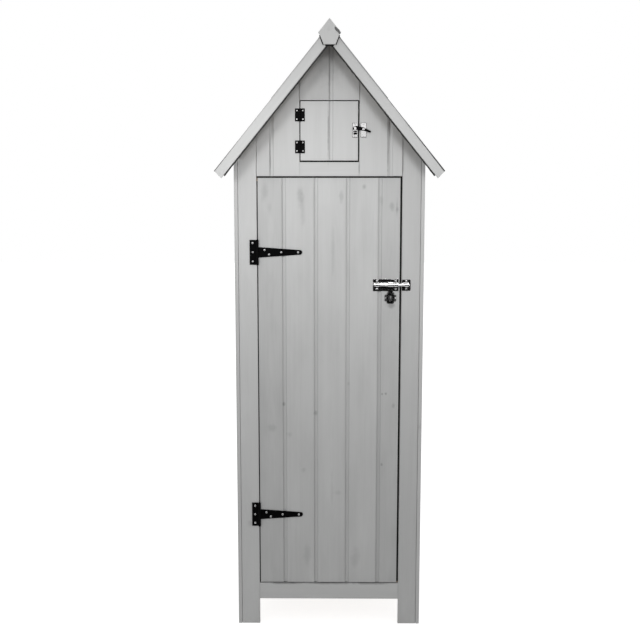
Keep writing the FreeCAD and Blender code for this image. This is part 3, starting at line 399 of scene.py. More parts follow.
def softwood(name, look, marks):
    finish = newFinish(name)
    middle, half = finish.stored("fromMiddle", "Vector"), finish.stored("halfSize", "Vector")
    seed, endGrain = finish.stored("boardSeed", "Fac"), finish.stored("endGrain", "Fac")
    shift = {axis: seed * length for axis, length in enumerate(boardShift)}
    place = finish.vector("ADD", middle, finish.node("ShaderNodeCombineXYZ", {}, shift))
    across, through = finish.parts(middle)[:2]
    wobble, fine, streak, fibre, cloud = (finish.noise(place, **grain[part])
                                          for part in ("wobble", "fine", "streak", "fibre", "cloud"))
    core, rim, pull = knotsIn(finish, look, place, wobble)
    ring = growthRings(finish, place, across, through, seed, fine, rim, pull)
    darkSidesAndEnds, scoop = boardDarkening(finish, middle, half, through, streak, fine)

    shade = ring * look["ringShare"] + streak.rising(*shading["streak"]) * look["streakShare"]
    shade = shade + cloud.rising(*shading["cloud"]) * look["cloudShare"]
    shade = shade + rim * look["knotShare"] * knots["rimShare"] + core * look["knotShare"]
    shade = shade + darkSidesAndEnds * look["edgeShare"] * shading["edgeShare"]
    # end grain darker, and painted shade along the shallow part of a scoop
    shade = shade + endGrain * shading["endShare"] + scoop * look["scoopShadeShare"]
    shade = shade + (seed * shading["boardStep"]).maths("FRACT").swing(2 * look["boardSpread"])
    # each board's own tone together with painted light and shade
    shade = shade + finish.stored("toneAndPaintedLight", "Fac")
    shade = markedShade(finish, shade, look, marks, wobble).maths("MINIMUM", shading["deepest"])
    colour = finish.mixed(shade, (*look["tone"], 1.0), (*look["dark"], 1.0))
    light = cloud.rising(*pale["cloud"]) * pale["cloudShare"]
    light = light + fibre.rising(*pale["fibre"]) * pale["fibreShare"]
    colour = finish.mixed(light, colour, (*(part * pale["gain"] for part in look["tone"]), 1.0))

    height = ring * relief["ring"] + fibre * relief["fibre"] + streak * relief["streak"]
    height = height + core * relief["knot"] - endGrain * fine * relief["end"]
    roughness = streak * sheen["streak"] + (look["roughness"] - sheen["streak"] / 2) + core * sheen["knot"]
    return finish.surface({
        "Base Color": colour,
        "Roughness": roughness,
        "Specular IOR Level": sheen["level"],
        "Normal": finish.bump(height, look["relief"], relief["strength"])})


# black coat on the hinges and the hook arm, nearly matt, with a few rubbed places
coat = {"black": (0.0012, 0.0012, 0.0014, 1.0), "scuffed": (0.013, 0.012, 0.012, 1.0),
        "peel": {"scale": 620.0}, "smear": {"scale": 34.0, "detail": 3.0, "roughness": 0.6},
        "rub": {"scale": 210.0, "detail": 4.0, "roughness": 0.7}, "rubbed": (0.68, 0.80),
        "smeared": (0.5, 0.7), "roughness": 0.40, "smearRough": 0.16, "scuffRough": 0.15,
        "rubHeight": 0.5, "level": 0.05, "relief": 0.05 * mm, "strength": 0.5}


def blackCoat():
    finish = newFinish("blackCoat")
    place = finish.place()
    peel, smear, rub = (finish.noise(place, **coat[part]) for part in ("peel", "smear", "rub"))
    scuff = rub.rising(*coat["rubbed"]) * smear.rising(*coat["smeared"])
    return finish.surface({
        "Base Color": finish.mixed(scuff, coat["black"], coat["scuffed"]),
        "Roughness": smear * coat["smearRough"] + coat["roughness"] + scuff * coat["scuffRough"],
        "Specular IOR Level": coat["level"],
        "Normal": finish.bump(peel + rub * coat["rubHeight"], coat["relief"], coat["strength"])})


# bright plating: drawn lines along X, haze, dull spots and a darker band round a plate's outline
plating = {"drawn": {"scale": 1500.0, "stretch": (0.06, 1.0, 1.0)},
           "haze": {"scale": 75.0, "detail": 3.0, "roughness": 0.6},
           "spots": {"scale": 420.0, "detail": 3.0, "roughness": 0.7},
           "hazeFrom": (0.35, 0.75), "hazeTone": 0.78, "hazeShare": 0.5, "hazeRough": 0.10,
           "spotFrom": (0.66, 0.76), "spotTone": 0.45, "spotShare": 0.5, "spotRough": 0.18,
           "spotMetal": 0.25, "drawnRough": 0.04, "drawnHeight": 0.5, "smoother": 0.03,
           "outlineTone": 0.12, "outlineShare": 0.85, "outlineWave": 1.6 * mm,
           "outlineInside": (2.0 * mm, 0.9 * mm), "outlineOutside": (-0.5 * mm, 0.0),
           "relief": 0.03 * mm, "strength": 0.5}


def outlineDarkening(finish, plate, place, haze):
    # 1 along the outline of a plate that faces the front
    low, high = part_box(plate)
    offset = finish.vector("SUBTRACT", place, tuple((a + b) / 2 for a, b in zip(low, high)))
    half = tuple((b - a) / 2 for a, b in zip(low, high))
    inside = finish.parts(finish.vector("SUBTRACT", half, finish.vector("ABSOLUTE", offset)))
    edge = inside[0].maths("MINIMUM", inside[2]) + haze.swing(plating["outlineWave"])
    return edge.rising(*plating["outlineInside"]) * edge.rising(*plating["outlineOutside"])


def brightPlate(name, tone, gloss, plates=()):
    # plates are the nodes whose outline is darker
    finish = newFinish(name)
    place = finish.place()
    drawn, haze, spots = (finish.noise(place, **plating[part]) for part in ("drawn", "haze", "spots"))
    spots = spots.rising(*plating["spotFrom"])
    hazy = haze.rising(*plating["hazeFrom"]) * plating["hazeShare"]
    colour = finish.mixed(hazy, grey(tone), grey(tone * plating["hazeTone"]))
    colour = finish.mixed(spots * plating["spotShare"], colour, grey(tone * plating["spotTone"]))
    for plate in plates:
        outlineDark = outlineDarkening(finish, plate, place, haze) * plating["outlineShare"]
        colour = finish.mixed(outlineDark, colour, grey(tone * plating["outlineTone"]))
    roughness = haze * plating["hazeRough"] + (gloss - plating["smoother"]) + spots * plating["spotRough"]
    height = drawn * plating["drawnHeight"] + haze
    return finish.surface({
        "Base Color": colour,
        "Metallic": 1.0 - spots * plating["spotMetal"],
        "Roughness": roughness + drawn * plating["drawnRough"],
        "Normal": finish.bump(height, plating["relief"], plating["strength"])})


# roofing felt: mineral grains with paler patches
mineral = {"grains": 520.0, "patch": {"scale": 9.0, "detail": 4.0, "roughness": 0.6},
           "patchFrom": (0.3, 0.7), "grainShare": 0.6, "patchShare": 0.4, "roughness": 0.82,
           "grainRough": 0.12, "level": 0.3, "grainEdge": (0.6, 0.1), "patchHeight": 0.5,
           "relief": 0.6 * mm, "strength": 0.8}
# the felt's front edge in the paint's tone, whole on the left slope and thin on the right one: heights in
# metres between which each begins, and how far back from the front it goes
paleFront = {"ridge": 20 * mm, "leftFrom": (1.56, 1.68), "rightFrom": (1.60, 1.86), "rightShare": 0.62,
            "front": (-257.2 * mm, -257.6 * mm), "share": 0.9, "wave": 0.1}


def paleFeltFront(finish, place, patch):
    x, y, z = finish.parts(place)
    height = z + patch.swing(paleFront["wave"])
    left = x.rising(paleFront["ridge"], 0.0) * height.rising(*paleFront["leftFrom"])
    right = x.rising(0.0, paleFront["ridge"]) * height.rising(*paleFront["rightFrom"])
    return (left + right * paleFront["rightShare"]) * y.rising(*paleFront["front"]) * paleFront["share"]


def mineralFelt(name, dark, light, paint=None):
    finish = newFinish(name)
    place = finish.place()
    inputs = {"Vector": place, "Scale": mineral["grains"]}
    grains = finish.node("ShaderNodeTexVoronoi", {}, inputs, "Distance")
    each = finish.parts(grains.beside("Color"))
    patch = finish.noise(place, **mineral["patch"])
    patchy = patch.rising(*mineral["patchFrom"])
    tone = each[0] * mineral["grainShare"] + patchy * mineral["patchShare"]
    colour = finish.mixed(tone, grey(dark), grey(light))
    if paint:
        colour = finish.mixed(paleFeltFront(finish, place, patch), colour, (*paint, 1.0))
    height = grains.rising(*mineral["grainEdge"]) + patch * mineral["patchHeight"]
    return finish.surface({
        "Base Color": colour,
        "Roughness": each[1] * mineral["grainRough"] + mineral["roughness"],
        "Specular IOR Level": mineral["level"],
        "Normal": finish.bump(height, mineral["relief"], mineral["strength"])})


doorPaint = softwood("doorPaint", door, doorMarks)
trimPaint = softwood("trimPaint", trim, trimShadeMarks)
wallPaint = softwood("wallPaint", wall, {})
pine = softwood("barePine", bare, {})
soffitPine = softwood("soffitPine", soffit, {})
blackSteel = blackCoat()
brightSteel = brightPlate("brightSteel", 0.70, 0.11)
catchSteel = brightPlate("catchSteel", 0.90, 0.16, ("catch_stud_plate", "catch_pivot_plate"))
screwSteel = brightPlate("screwSteel", 0.60, 0.26)
nailSteel = brightPlate("nailSteel", 0.42, 0.42)
# the staple's plating has a near-black tone, a painted dark reflection of the studio round it
stapleSteel = brightPlate("stapleSteel", 0.16, 0.34)
felt = mineralFelt("mineralFelt", 0.026, 0.095, trim["tone"])
# near-black felt used as painted shade, behind the doors' gaps and round the finial's foot and lower edges
shadowFelt = mineralFelt("shadowFelt", 0.006, 0.018)
wornFelt = mineralFelt("wornFelt", 0.10, 0.24)
print("finishes made:", len(bpy.data.materials))


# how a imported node's mesh is read and eased: decimals of a metre that its corners keep, the turn
# under which faces are one flat area, how many widths of easing the faces beside an edge must
# have room for, and the distance under which points become one
meshing = {"decimals": 6, "flat": math.radians(0.6), "room": 2.2, "segments": 3, "slimmest": 0.003 * mm}
smoothAngle = {"board": 34, "metal": 50, "felt": 50, "gapFelt": 60, "nail": 40, "screw": 35}


def nodeSolids(name):
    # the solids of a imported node, each a list of faces given by their corners
    mesh = nodes[name].data
    corner = [tuple(round(c, meshing["decimals"]) for c in vertex.co) for vertex in mesh.vertices]
    solids, faces, openEdges = [], [], set()
    for polygon in mesh.polygons:
        around = [corner[index] for index in polygon.vertices]
        for start, end in zip(around, around[1:] + around[:1]):
            if (end, start) in openEdges:
                openEdges.remove((end, start))
            else:
                openEdges.add((start, end))
        faces.append(around)
        if not openEdges:
            solids.append(faces)
            faces = []
    return solids


def solidMesh(faces):
    # one solid as a bmesh with its flat areas in one face each
    bm = bmesh.new()
    made = {}
    for around in faces:
        for corner in around:
            if corner not in made:
                made[corner] = bm.verts.new(corner)
        bm.faces.new([made[corner] for corner in around])
    bmesh.ops.recalc_face_normals(bm, faces=bm.faces)
    bmesh.ops.dissolve_limit(bm, angle_limit=meshing["flat"], verts=bm.verts, edges=bm.edges)
    return bm


def pointsBox(points):
    low = Vector([min(point[axis] for point in points) for axis in range(3)])
    high = Vector([max(point[axis] for point in points) for axis in range(3)])
    return low, high


def solidBox(faces):
    return pointsBox([corner for around in faces for corner in around])


def easeEdges(bm, sizes):
    # rounds the long outside edges, but not those beside a face too narrow for it
    chosen = []
    for edge in bm.edges:
        length = edge.calc_length()
        if len(edge.link_faces) != 2 or length < sizes["shortest"]:
            continue
        room = min(face.calc_area() for face in edge.link_faces) / length
        if edge.calc_face_angle_signed() > sizes["sharpest"] and room > meshing["room"] * sizes["width"]:
            chosen.append(edge)
    if chosen:
        bmesh.ops.bevel(bm, geom=chosen, offset=sizes["width"], segments=meshing["segments"],
                        profile=0.5, affect="EDGES", clamp_overlap=True)
        bmesh.ops.remove_doubles(bm, verts=bm.verts, dist=meshing["slimmest"])


def gather(bm, points, faces):
    # adds one solid to the lists that a whole piece is made from
    first = len(points)
    bm.verts.index_update()
    points += [v.co.copy() for v in bm.verts]
    faces += [[first + v.index for v in face.verts] for face in bm.faces]


def addPiece(mesh, material, body, slot, angle):
    piece = bpy.data.objects.new(mesh.name, mesh)
    bpy.context.collection.objects.link(piece)
    mesh.materials.append(material)
    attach(piece, body)
    # soft shading over rounded edges, with the flat areas kept flat
    for polygon in mesh.polygons:
        polygon.use_smooth = True
    mesh.set_sharp_from_angle(angle=math.radians(angle))
    weighted = piece.modifiers.new("flatAreas", "WEIGHTED_NORMAL")
    weighted.keep_sharp = True
    weighted.weight = 90
    return piece


def replaceNode(name, mesh, material, angle):
    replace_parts(addPiece(mesh, material, bodyOf[name], slotOf[name], angle), name)


# boards whose grain direction is set; in the others it follows the longest edge
uprightBoards = ("door_boards", "hatch_boards", "front_post_left", "front_post_right", "gable_boards_left",
                 "gable_boards_right", "gable_boards_above_hatch", "side_boards_left", "side_boards_right",
                 "back_boards", "corner_boards", "rear_posts", "finial_plate")
boardGrain = {**dict.fromkeys(uprightBoards, (0, 0, 1)), "gable_board_below_hatch": (1, 0, 0),
              "roof_boards_left": (0, 1, 0), "roof_boards_right": (0, 1, 0)}
boardEase = {"shortest": 12 * mm, "sharpest": math.radians(28)}
easeWidth = {"painted": 0.9 * mm, "corner": 1.3 * mm, "bare": 1.0 * mm}
cornerNodes = ("front_post_left", "front_post_right", "corner_boards", "rear_posts")

# how much darker a board is painted than the rest, one number for each board in turn; partly the paint's
# own tone from board to board and partly painted light and shade, such as the left front bargeboard paler
# as the light falls from the left and the boards above the hatch darker in the shade under the roof
toneAndPaintedLight = {"finial_plate": (-0.35,), "gable_boards_above_hatch": (0.45, 0.05),
              "gable_boards_right": (0.10,), "hatch_boards": (-0.14,),
              "front_post_left": (-0.08,), "front_post_right": (0.35,),
              "front_bargeboard_left": (-0.55,), "front_bargeboard_right": (-0.16,),
              "door_boards": (0.30, -0.02, 0.0, 0.05, 0.30)}

# what each board's mesh carries for its finish
boardLayers = {"fromMiddle": ("FLOAT_VECTOR", "POINT"), "halfSize": ("FLOAT_VECTOR", "POINT"),
               "boardSeed": ("FLOAT", "POINT"), "toneAndPaintedLight": ("FLOAT", "POINT"),
               "endGrain": ("FLOAT", "FACE")}


def boardFrame(bm, direction):
    # directions across, through and along a board
    largest = max(bm.faces, key=lambda face: face.calc_area())
    through = largest.normal.copy()
    if direction is None:
        longest = max(bm.edges, key=lambda edge: edge.calc_length())
        along = longest.verts[1].co - longest.verts[0].co
    else:
        along = Vector(direction)
    along = (along - through * along.dot(through)).normalized()
    if along[max(range(3), key=lambda axis: abs(along[axis]))] < 0:
        along = -along
    return through.cross(along).normalized(), through, along


def storeLayers(mesh, layers):
    for label, (kind, domain) in boardLayers.items():
        layer = mesh.attributes.new(label, kind, domain)
        if kind == "FLOAT_VECTOR":
            layer.data.foreach_set("vector", [c for value in layers[label] for c in value])
        else:
            layer.data.foreach_set("value", layers[label])


def woodPiece(name, material, width):
    chance = random.Random(name)
    shades = toneAndPaintedLight.get(name, (0.0,))
    points, faces = [], []
    layers = {label: [] for label in boardLayers}
    for count, solid in enumerate(nodeSolids(name)):
        bm = solidMesh(solid)
        across, through, along = boardFrame(bm, boardGrain.get(name))
        easeEdges(bm, {**boardEase, "width": width})
        gather(bm, points, faces)
        local = [Vector((v.co.dot(across), v.co.dot(through), v.co.dot(along))) for v in bm.verts]
        low, high = pointsBox(local)
        layers["fromMiddle"] += [point - (low + high) / 2 for point in local]
        layers["halfSize"] += [(high - low) / 2] * len(local)
        layers["boardSeed"] += [chance.random()] * len(local)
        layers["toneAndPaintedLight"] += [shades[count % len(shades)]] * len(local)
        layers["endGrain"] += [abs(face.normal.dot(along)) for face in bm.faces]
        bm.free()
    mesh = bpy.data.meshes.new(name + ".wood")
    mesh.from_pydata(points, [], faces)
    storeLayers(mesh, layers)
    replaceNode(name, mesh, material, smoothAngle["board"])


ownPaint = {"door_boards": doorPaint, "side_boards_left": wallPaint, "side_boards_right": wallPaint,
            "back_boards": wallPaint, "roof_boards_left": soffitPine, "roof_boards_right": soffitPine}
for name in sorted(nodes):
    if slotOf[name] == "bare_softwood":
        woodPiece(name, ownPaint.get(name, pine), easeWidth["bare"])
    elif slotOf[name] == "painted_softwood":
        width = easeWidth["corner" if name in cornerNodes else "painted"]
        woodPiece(name, ownPaint.get(name, trimPaint), width)
print("boards eased and grained")


metalEase = {"width": 0.28 * mm, "shortest": 0.4 * mm, "sharpest": math.radians(40)}
metals = {"black_iron": blackSteel, "bright_zinc": brightSteel, "roofing_felt": felt}
ownMetal = {"catch_stud_plate": catchSteel, "catch_pivot_plate": catchSteel, "hasp_staple": stapleSteel}


def metalPiece(name, material):
    points, faces = [], []
    for solid in nodeSolids(name):
        bm = solidMesh(solid)
        easeEdges(bm, metalEase)
        gather(bm, points, faces)
        bm.free()
    mesh = bpy.data.meshes.new(name + ".metal")
    mesh.from_pydata(points, [], faces)
    replaceNode(name, mesh, material, smoothAngle["metal"])


for name in sorted(nodes):
    if slotOf[name] in metals:
        metalPiece(name, ownMetal.get(name, metals[slotOf[name]]))
print("hinges, bolt, catch and felt eased")


# loose shapes built from rings of points
def ringFaces(bm, first, second):
    for index in range(len(first)):
        after = (index + 1) % len(first)
        bm.faces.new((first[index], first[after], second[after], second[index]))


def roundRing(bm, centre, across, other, radius, sides):
    angles = [2 * math.pi * index / sides for index in range(sides)]
    return [bm.verts.new(centre + (across * math.cos(a) + other * math.sin(a)) * radius) for a in angles]


def closedRings(bm, rings):
    for near, far in zip(rings, rings[1:]):
        ringFaces(bm, near, far)
    bm.faces.new(rings[0][::-1])
    bm.faces.new(rings[-1])


def closedMesh(name, bm):
    bmesh.ops.recalc_face_normals(bm, faces=bm.faces)
    mesh = bpy.data.meshes.new(name)
    bm.to_mesh(mesh)
    bm.free()
    return mesh


def sweptPiece(name, sections, material, body, slot, angle):
    bm = bmesh.new()
    closedRings(bm, [[bm.verts.new(point) for point in section] for section in sections])
    addPiece(closedMesh(name, bm), material, body, slot, angle)


def evenSteps(start, end, step):
    count = max(1, round((end - start) / step))
    return [start + (end - start) * index / count for index in range(count + 1)]


# near-black felt strips behind the doors' gaps: dark sheets put where the gaps are in shade, so they look
# black from outside as painted shade. Each gives X from and to, Z from and to, and the kind of strip, which
# says the Y of its back and its depth, all in mm
stripKinds = {"deep": (-176.0, 2.6), "corner": (-176.0, 2.4), "shallow": (-174.8, 1.1)}
gapShadeStrips = {"latch_gap_shadow_felt": ((232.7, 238.8), (151.0, 1540.0), "deep"),
             "head_gap_shadow_felt": ((-238.5, 232.0), (1535.7, 1540.8), "deep"),
             "hinge_gap_shadow_felt": ((-249.0, -235.0), (157.0, 1525.0), "shallow"),
             "foot_gap_shadow_felt": ((-249.0, 222.0), (141.0, 156.0), "shallow"),
             "hatch_sill_shadow_felt": ((-97.0, 97.0), (1586.7, 1591.3), "deep"),
             "hatch_head_shadow_felt": ((-97.0, 97.0), (1781.7, 1784.3), "deep"),
             "hatch_hinge_shadow_felt": ((-105.0, -93.6), (1602.0, 1771.0), "shallow"),
             "hatch_latch_shadow_felt": ((92.4, 105.0), (1602.0, 1771.0), "shallow"),
             "hatch_corner_shadow_felt_low": ((93.5, 97.2), (1591.4, 1602.5), "corner"),
             "hatch_corner_shadow_felt_high": ((93.5, 97.2), (1770.5, 1781.6), "corner"),
             "hatch_heel_shadow_felt_low": ((-97.2, -94.6), (1591.4, 1602.5), "corner"),
             "hatch_heel_shadow_felt_high": ((-97.2, -94.6), (1770.5, 1781.6), "corner")}
gapFelt = {"step": 25 * mm, "ease": 0.3 * mm, "wave": 0.18}  # the wave is a share of the depth


# painted shade: each strip is a near-black sheet in a gap's shadow
def makeGapShadeFelt():
    chance = random.Random("gapFelt")
    ease = gapFelt["ease"]
    for name, (acrossX, acrossZ, kind) in gapShadeStrips.items():
        isUpright = acrossZ[1] - acrossZ[0] > acrossX[1] - acrossX[0]
        sides, ends = (acrossX, acrossZ) if isUpright else (acrossZ, acrossX)
        low, high = sides[0] * mm, sides[1] * mm
        seat, depth = stripKinds[kind]
        sections = []
        for place in evenSteps(ends[0] * mm, ends[1] * mm, gapFelt["step"]):
            front = (seat - depth * (1 - gapFelt["wave"] * chance.random())) * mm
            outline = [(low, seat * mm), (low, front + ease), (low + ease, front),
                       (high - ease, front), (high, front + ease), (high, seat * mm)]
            sections.append([(side, y, place) if isUpright else (place, y, side) for side, y in outline])
        sweptPiece(name, sections, shadowFelt, "cabinet", "roofing_felt", smoothAngle["gapFelt"])


makeGapShadeFelt()
print("gaps closed from behind")


# roof: a second course of felt on each slope, the felt's edge under both front bargeboards, kept dark as a
# painted shadow line, and over the right one, and clout nails; places on a slope are measured down it from
# the ridge
feltLow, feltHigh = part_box("roof_felt_left")
roof = {"pitch": math.radians(50.8), "ridge": feltHigh[2], "front": feltLow[1], "back": feltHigh[1],
        "eaves": 514.2 * mm, "stripEnd": 55 * mm, "stripThick": 2 * mm, "step": 11 * mm}
pitchCos, pitchSin = math.cos(roof["pitch"]), math.sin(roof["pitch"])


def slopePoint(along, rise, y, side):
    # a point this far down one slope and this far outside its felt
    x = side * (along * pitchCos + rise * pitchSin)
    return Vector((x, y, roof["ridge"] - along * pitchSin + rise * pitchCos))


def feltPiece(name, sections):
    sweptPiece(name, sections, felt, "cabinet", "roofing_felt", smoothAngle["felt"])


# the lower edge lifts between liftStart and liftEnd, and wavers as a sum of waves along Y
course = {"start": 54.6 * mm, "end": 292 * mm, "inset": 0.4 * mm, "thick": 1.4 * mm, "ease": 0.5 * mm,
          "liftStart": 30 * mm, "liftEnd": 6 * mm, "ripple": 0.25 * mm, "wave": 2.6 * mm,
          "rates": (18, 124, 21), "phase": 9}


def feltCourse(side, label):
    chance = random.Random("course" + label)
    start, thick, ease = course["start"], course["thick"], course["ease"]
    rates = range(*course["rates"])
    swings = [chance.uniform(-1, 1) for rate in rates]
    sections = []
    for y in evenSteps(roof["front"] + course["inset"], roof["back"] - course["inset"], roof["step"]):
        waves = [size * math.sin(y * rate + size * course["phase"]) for size, rate in zip(swings, rates)]
        wave = 2 * sum(waves) / len(waves)
        end = course["end"] + wave * course["wave"]
        lift = thick + (chance.random() + wave) * course["ripple"]
        outline = [(start, 0.0), (start, thick), (end - course["liftStart"], thick),
                   (end - course["liftEnd"], lift), (end - ease, lift), (end, lift - ease), (end, 0.0)]
        sections.append([slopePoint(along, rise, y, side) for along, rise in outline])
    feltPiece("felt_course_" + label, sections)


# painted shade: a dark felt strip under each front bargeboard for the shadow line there
drip = {"top": 14.3 * mm, "foot": 36.4 * mm, "thick": 1.3 * mm, "inset": 1 * mm, "end": 577 * mm,
        "wave": 0.7 * mm}


def vergeShadowDrip(side, label):
    # the felt's edge that shows under a front bargeboard, a dark strip that stands in as painted shade for
    # the shadow line under the board
    chance = random.Random("drip" + label)
    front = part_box("front_bargeboard_left")[1][1]
    rear = front + drip["thick"]
    start = drip["foot"] * math.tan(roof["pitch"]) + drip["inset"]
    sections = []
    for along in evenSteps(start, drip["end"], roof["step"]):
        foot = drip["foot"] + chance.uniform(-drip["wave"], drip["wave"])
        outline = [(drip["top"], front), (foot, front), (foot, rear), (drip["top"], rear)]
        sections.append([slopePoint(along, -depth, y, side) for depth, y in outline])
    feltPiece("verge_shadow_drip_" + label, sections)


fold = {"start": 380 * mm, "end": 584.5 * mm, "thick": 0.7 * mm, "rise": 0.4 * mm, "ease": 0.3 * mm,
        "reach": 4 * mm, "drop": 2.0 * mm, "moreDrop": 1.6 * mm, "wave": 0.3 * mm}


def vergeFold():
    # felt lapped over the edge of the right front bargeboard, wider towards the eaves
    chance = random.Random("fold")
    rise, ease = fold["rise"], fold["ease"]
    front, back = roof["front"] - fold["thick"], roof["front"] + fold["reach"]
    sections = []
    for along in evenSteps(fold["start"], fold["end"], roof["step"]):
        share = (along - fold["start"]) / (fold["end"] - fold["start"])
        drop = -fold["drop"] - fold["moreDrop"] * share + chance.uniform(-fold["wave"], fold["wave"])
        outline = [(rise, back), (rise, front + ease), (rise - ease, front), (drop + ease, front),
                   (drop, front + ease), (drop, roof["front"]), (0.0, roof["front"]), (0.0, back)]
        sections.append([slopePoint(along, out, y, 1) for out, y in outline])
    feltPiece("verge_fold", sections)


# nails in rows along the eaves, the lap and the ridge strip, and down the verges, where each row
# keeps clear of the felt's edges above and below it
nailHead = {"sides": 14, "rings": ((1.0, 0.0), (1.0, 0.35), (0.8, 0.85), (0.4, 1.0))}
clout = {"radius": 4.2 * mm, "rise": 0.9 * mm, "edge": 16 * mm, "lapEdge": 13 * mm,
         "stripEdge": 11 * mm, "spacing": 78 * mm, "lowerRow": (40 * mm, 60 * mm),
         "upperRow": (85 * mm, 70 * mm), "stray": 3 * mm, "sideStray": 0.4}


def addNail(bm, seat, out, sizes):
    across = out.orthogonal().normalized()
    rings = []
    for share, height in nailHead["rings"]:
        centre, radius = seat + out * (sizes["rise"] * height), sizes["radius"] * share
        rings.append(roundRing(bm, centre, across, out.cross(across), radius, nailHead["sides"]))
    closedRings(bm, rings)


def cloutPlaces():
    # how far down the slope, how far outside the lower felt, and Y
    eaves, lap = roof["eaves"] - clout["edge"], course["end"]
    front, back = roof["front"] + clout["edge"], roof["back"] - clout["edge"]
    places = []
    for y in evenSteps(front, back, clout["spacing"]):
        places += [(eaves, 0.0, y), (lap - clout["lapEdge"], course["thick"], y),
                   (roof["stripEnd"] - clout["stripEdge"], roof["stripThick"], y)]
    lows = evenSteps(lap + clout["lowerRow"][0], eaves - clout["lowerRow"][1], clout["spacing"])
    highs = evenSteps(clout["upperRow"][0], lap - clout["upperRow"][1], clout["spacing"])
    for y in (front, back):
        places += [(along, 0.0, y) for along in lows] + [(along, course["thick"], y) for along in highs]
    return places


def roofNails():
    chance = random.Random("roofNails")
    bm = bmesh.new()
    for side in (-1, 1):
        out = Vector((side * pitchSin, 0, pitchCos))
        for along, rise, y in cloutPlaces():
            off = chance.uniform(-clout["stray"], clout["stray"])
            seat = slopePoint(along + off, rise, y + off * clout["sideStray"], side)
            addNail(bm, seat, out, clout)
    addPiece(closedMesh("felt_nails", bm), nailSteel, "cabinet", "screw_steel", smoothAngle["nail"])


for side, label in ((-1, "left"), (1, "right")):
    feltCourse(side, label)
    vergeShadowDrip(side, label)
vergeFold()
roofNails()
print("roof felted and nailed")


# small flat pieces cut to an outline of X and Z in mm and facing the front, with an edge eased from
# 0.6 of the thickness on
flatRings = ((1.0, 0.0), (1.0, 0.6), (0.93, 1.0))  # shares of the outline and of the thickness


def flatPiece(name, outline, seat, thick, material, body="cabinet", slot="roofing_felt"):
    middleX, middleZ = (sum(places) / len(outline) for places in zip(*outline))
    sections = []
    for share, height in flatRings:
        ring = [(middleX + (x - middleX) * share, middleZ + (z - middleZ) * share) for x, z in outline]
        sections.append([(x * mm, seat - thick * height, z * mm) for x, z in ring])
    sweptPiece(name, sections, material, body, slot, smoothAngle["felt"])


# felt round the finial: near-black strips under its lower edges and its foot, painted shade that stands for
# the shadow lines there, and a torn flap on its right shoulder
finialFelt = {"tuck": ((30.6, 1979.6), (18.9, 1950.2), (21.6, 1949.2), (33.2, 1978.0)),
              "footShadow": ((-14.4, 1950.0), (-12.2, 1945.2), (12.2, 1945.2), (14.4, 1950.0)),
              "flap": ((15.6, 2001.8), (17.4, 2003.6), (24.0, 1999.6), (30.2, 1994.0), (34.6, 1986.8),
                       (34.9, 1983.6), (31.4, 1979.3), (28.6, 1982.6), (26.2, 1986.0), (20.6, 1990.4),
                       (16.6, 1995.8)),
              "tuckThick": 1.4 * mm, "flapThick": 0.8 * mm}


def makeFinialFelt():
    low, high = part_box("finial_plate")
    front, back, thick = low[1], high[1], finialFelt["tuckThick"]
    for side, label in ((-1, "left"), (1, "right")):
        tuck = [(side * x, z) for x, z in finialFelt["tuck"]]
        flatPiece("finial_shadow_tuck_" + label, tuck, back, thick, shadowFelt)
    flatPiece("finial_foot_shadow", finialFelt["footShadow"], back, thick, shadowFelt)
    flatPiece("finial_flap", finialFelt["flap"], front, finialFelt["flapThick"], wornFelt)


# a black pad on the catch's stud plate, in two blocks
catchPad = {"upper": ((77.8, 1683.0), (89.6, 1683.0), (89.6, 1687.4), (77.8, 1687.4)),
            "lower": ((77.8, 1674.6), (89.6, 1674.6), (89.6, 1681.6), (77.8, 1681.6))}
padSeat, padThick = -189.5 * mm, 1.3 * mm


def makeCatchPad():
    for place, outline in catchPad.items():
        flatPiece("catch_pad_" + place, outline, padSeat, padThick, blackSteel, "hatch", "black_iron")


# small nails that hold the side and back boards on the frame, near both sides of each board: the
# axis across the boards and the way out of them
boardNail = {"radius": 2.3 * mm, "rise": 0.35 * mm, "fromSide": 14 * mm, "fromTop": 12 * mm,
             "heights": (112 * mm, 640 * mm, 1180 * mm, 1575 * mm), "strayUp": 4 * mm, "strayAside": 3 * mm}
nailedBoards = {"side_boards_left": (1, (-1, 0, 0)), "side_boards_right": (1, (1, 0, 0)),
                "back_boards": (0, (0, 1, 0))}


def boardNails():
    chance = random.Random("boardNails")
    bm = bmesh.new()
    for name, (axis, out) in nailedBoards.items():
        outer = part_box(name)[0 if min(out) < 0 else 1]
        for solid in nodeSolids(name):
            low, high = solidBox(solid)
            for height in boardNail["heights"]:
                for place in (low[axis] + boardNail["fromSide"], high[axis] - boardNail["fromSide"]):
                    up = chance.uniform(-boardNail["strayUp"], boardNail["strayUp"])
                    seat = Vector((outer[0], outer[1], height + up))
                    aside = chance.uniform(-boardNail["strayAside"], boardNail["strayAside"])
                    seat[axis] = place + aside
                    if height < high.z - boardNail["fromTop"]:
                        addNail(bm, seat, Vector(out), boardNail)
    addPiece(closedMesh("board_nails", bm), nailSteel, "cabinet", "screw_steel", smoothAngle["nail"])


makeFinialFelt()
makeCatchPad()
boardNails()
print("finial felted, catch padded, boards nailed")


# screws with a domed head and a cross recess, each where its CAD screw is; one whose head's radius
# is over largeFrom is a large screw
screwShape = {"sides": 28, "rings": ((1.0, 0.0), (1.0, 0.30), (0.95, 0.56), (0.82, 0.80), (0.62, 0.95)),
              "armReach": 0.50, "armHalf": 0.11, "recessDepth": 0.75, "recessFoot": 0.55,
              "shankSides": 12, "pointLength": 3 * mm, "tipShare": 0.1, "largeFrom": 3 * mm}
screwSizes = {"large": {"height": 1.6 * mm, "shank": 1.7 * mm},
              "small": {"height": 1.2 * mm, "shank": 1.2 * mm}}


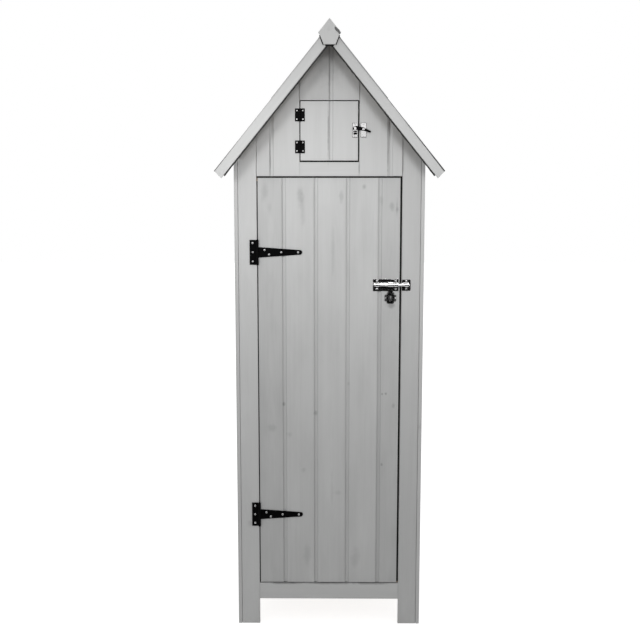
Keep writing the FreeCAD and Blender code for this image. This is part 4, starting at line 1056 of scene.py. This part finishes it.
def screwRing(bm, head, radius, y, sides):
    return roundRing(bm, Vector((head.x, y, head.z)), Vector((1, 0, 0)), Vector((0, 0, 1)), radius, sides)


def crossOutline(radius, turn):
    # the recess's outline from the middle of the head, three points for each arm
    reach, arm = radius * screwShape["armReach"], radius * screwShape["armHalf"]
    corners = ((reach, -arm), (reach, arm), (arm, arm))
    outline = []
    for quarter in range(4):
        angle = turn + quarter * math.pi / 2
        cos, sin = math.cos(angle), math.sin(angle)
        outline += [(u * cos - v * sin, u * sin + v * cos) for u, v in corners]
    return outline


def loopEdges(ring, edgeOf):
    # the edges round a ring, found or made by edgeOf
    return [edgeOf((ring[index], ring[(index + 1) % len(ring)])) for index in range(len(ring))]


def addHead(bm, head, radius, height, turn):
    rings = [screwRing(bm, head, radius * share, head.y - height * rise, screwShape["sides"])
             for share, rise in screwShape["rings"]]
    for outer, inner in zip(rings, rings[1:]):
        ringFaces(bm, outer, inner)
    bm.faces.new(rings[0][::-1])
    outline = crossOutline(radius, turn)
    levels = ((1.0, 1.0), (screwShape["recessFoot"], 1 - screwShape["recessDepth"]))
    mouth, foot = ([bm.verts.new((head.x + u * share, head.y - height * rise, head.z + v * share))
                    for u, v in outline] for share, rise in levels)
    edges = loopEdges(rings[-1], bm.edges.get) + loopEdges(mouth, bm.edges.new)
    bmesh.ops.triangle_fill(bm, use_beauty=True, edges=edges)
    ringFaces(bm, mouth, foot)
    bm.faces.new(foot)


def addShank(bm, head, radius, end):
    tip = radius * screwShape["tipShare"]
    places = ((radius, head.y), (radius, end - screwShape["pointLength"]), (tip, end))
    closedRings(bm, [screwRing(bm, head, size, y, screwShape["shankSides"]) for size, y in places])


def screwPiece(name):
    chance = random.Random(name)
    bm = bmesh.new()
    for solid in nodeSolids(name):
        low, high = solidBox(solid)
        radius = (high.x - low.x) / 2
        sizes = screwSizes["large" if radius > screwShape["largeFrom"] else "small"]
        # the middle of the head's back; the screw looks towards -Y
        head = Vector(((low.x + high.x) / 2, low.y + sizes["height"], (low.z + high.z) / 2))
        addHead(bm, head, radius, sizes["height"], chance.uniform(0, math.pi / 2))
        addShank(bm, head, sizes["shank"], high.y)
    replaceNode(name, closedMesh(name + ".cross", bm), screwSteel, smoothAngle["screw"])


for name in sorted(nodes):
    if slotOf[name] == "screw_steel":
        screwPiece(name)
print("screws turned in")
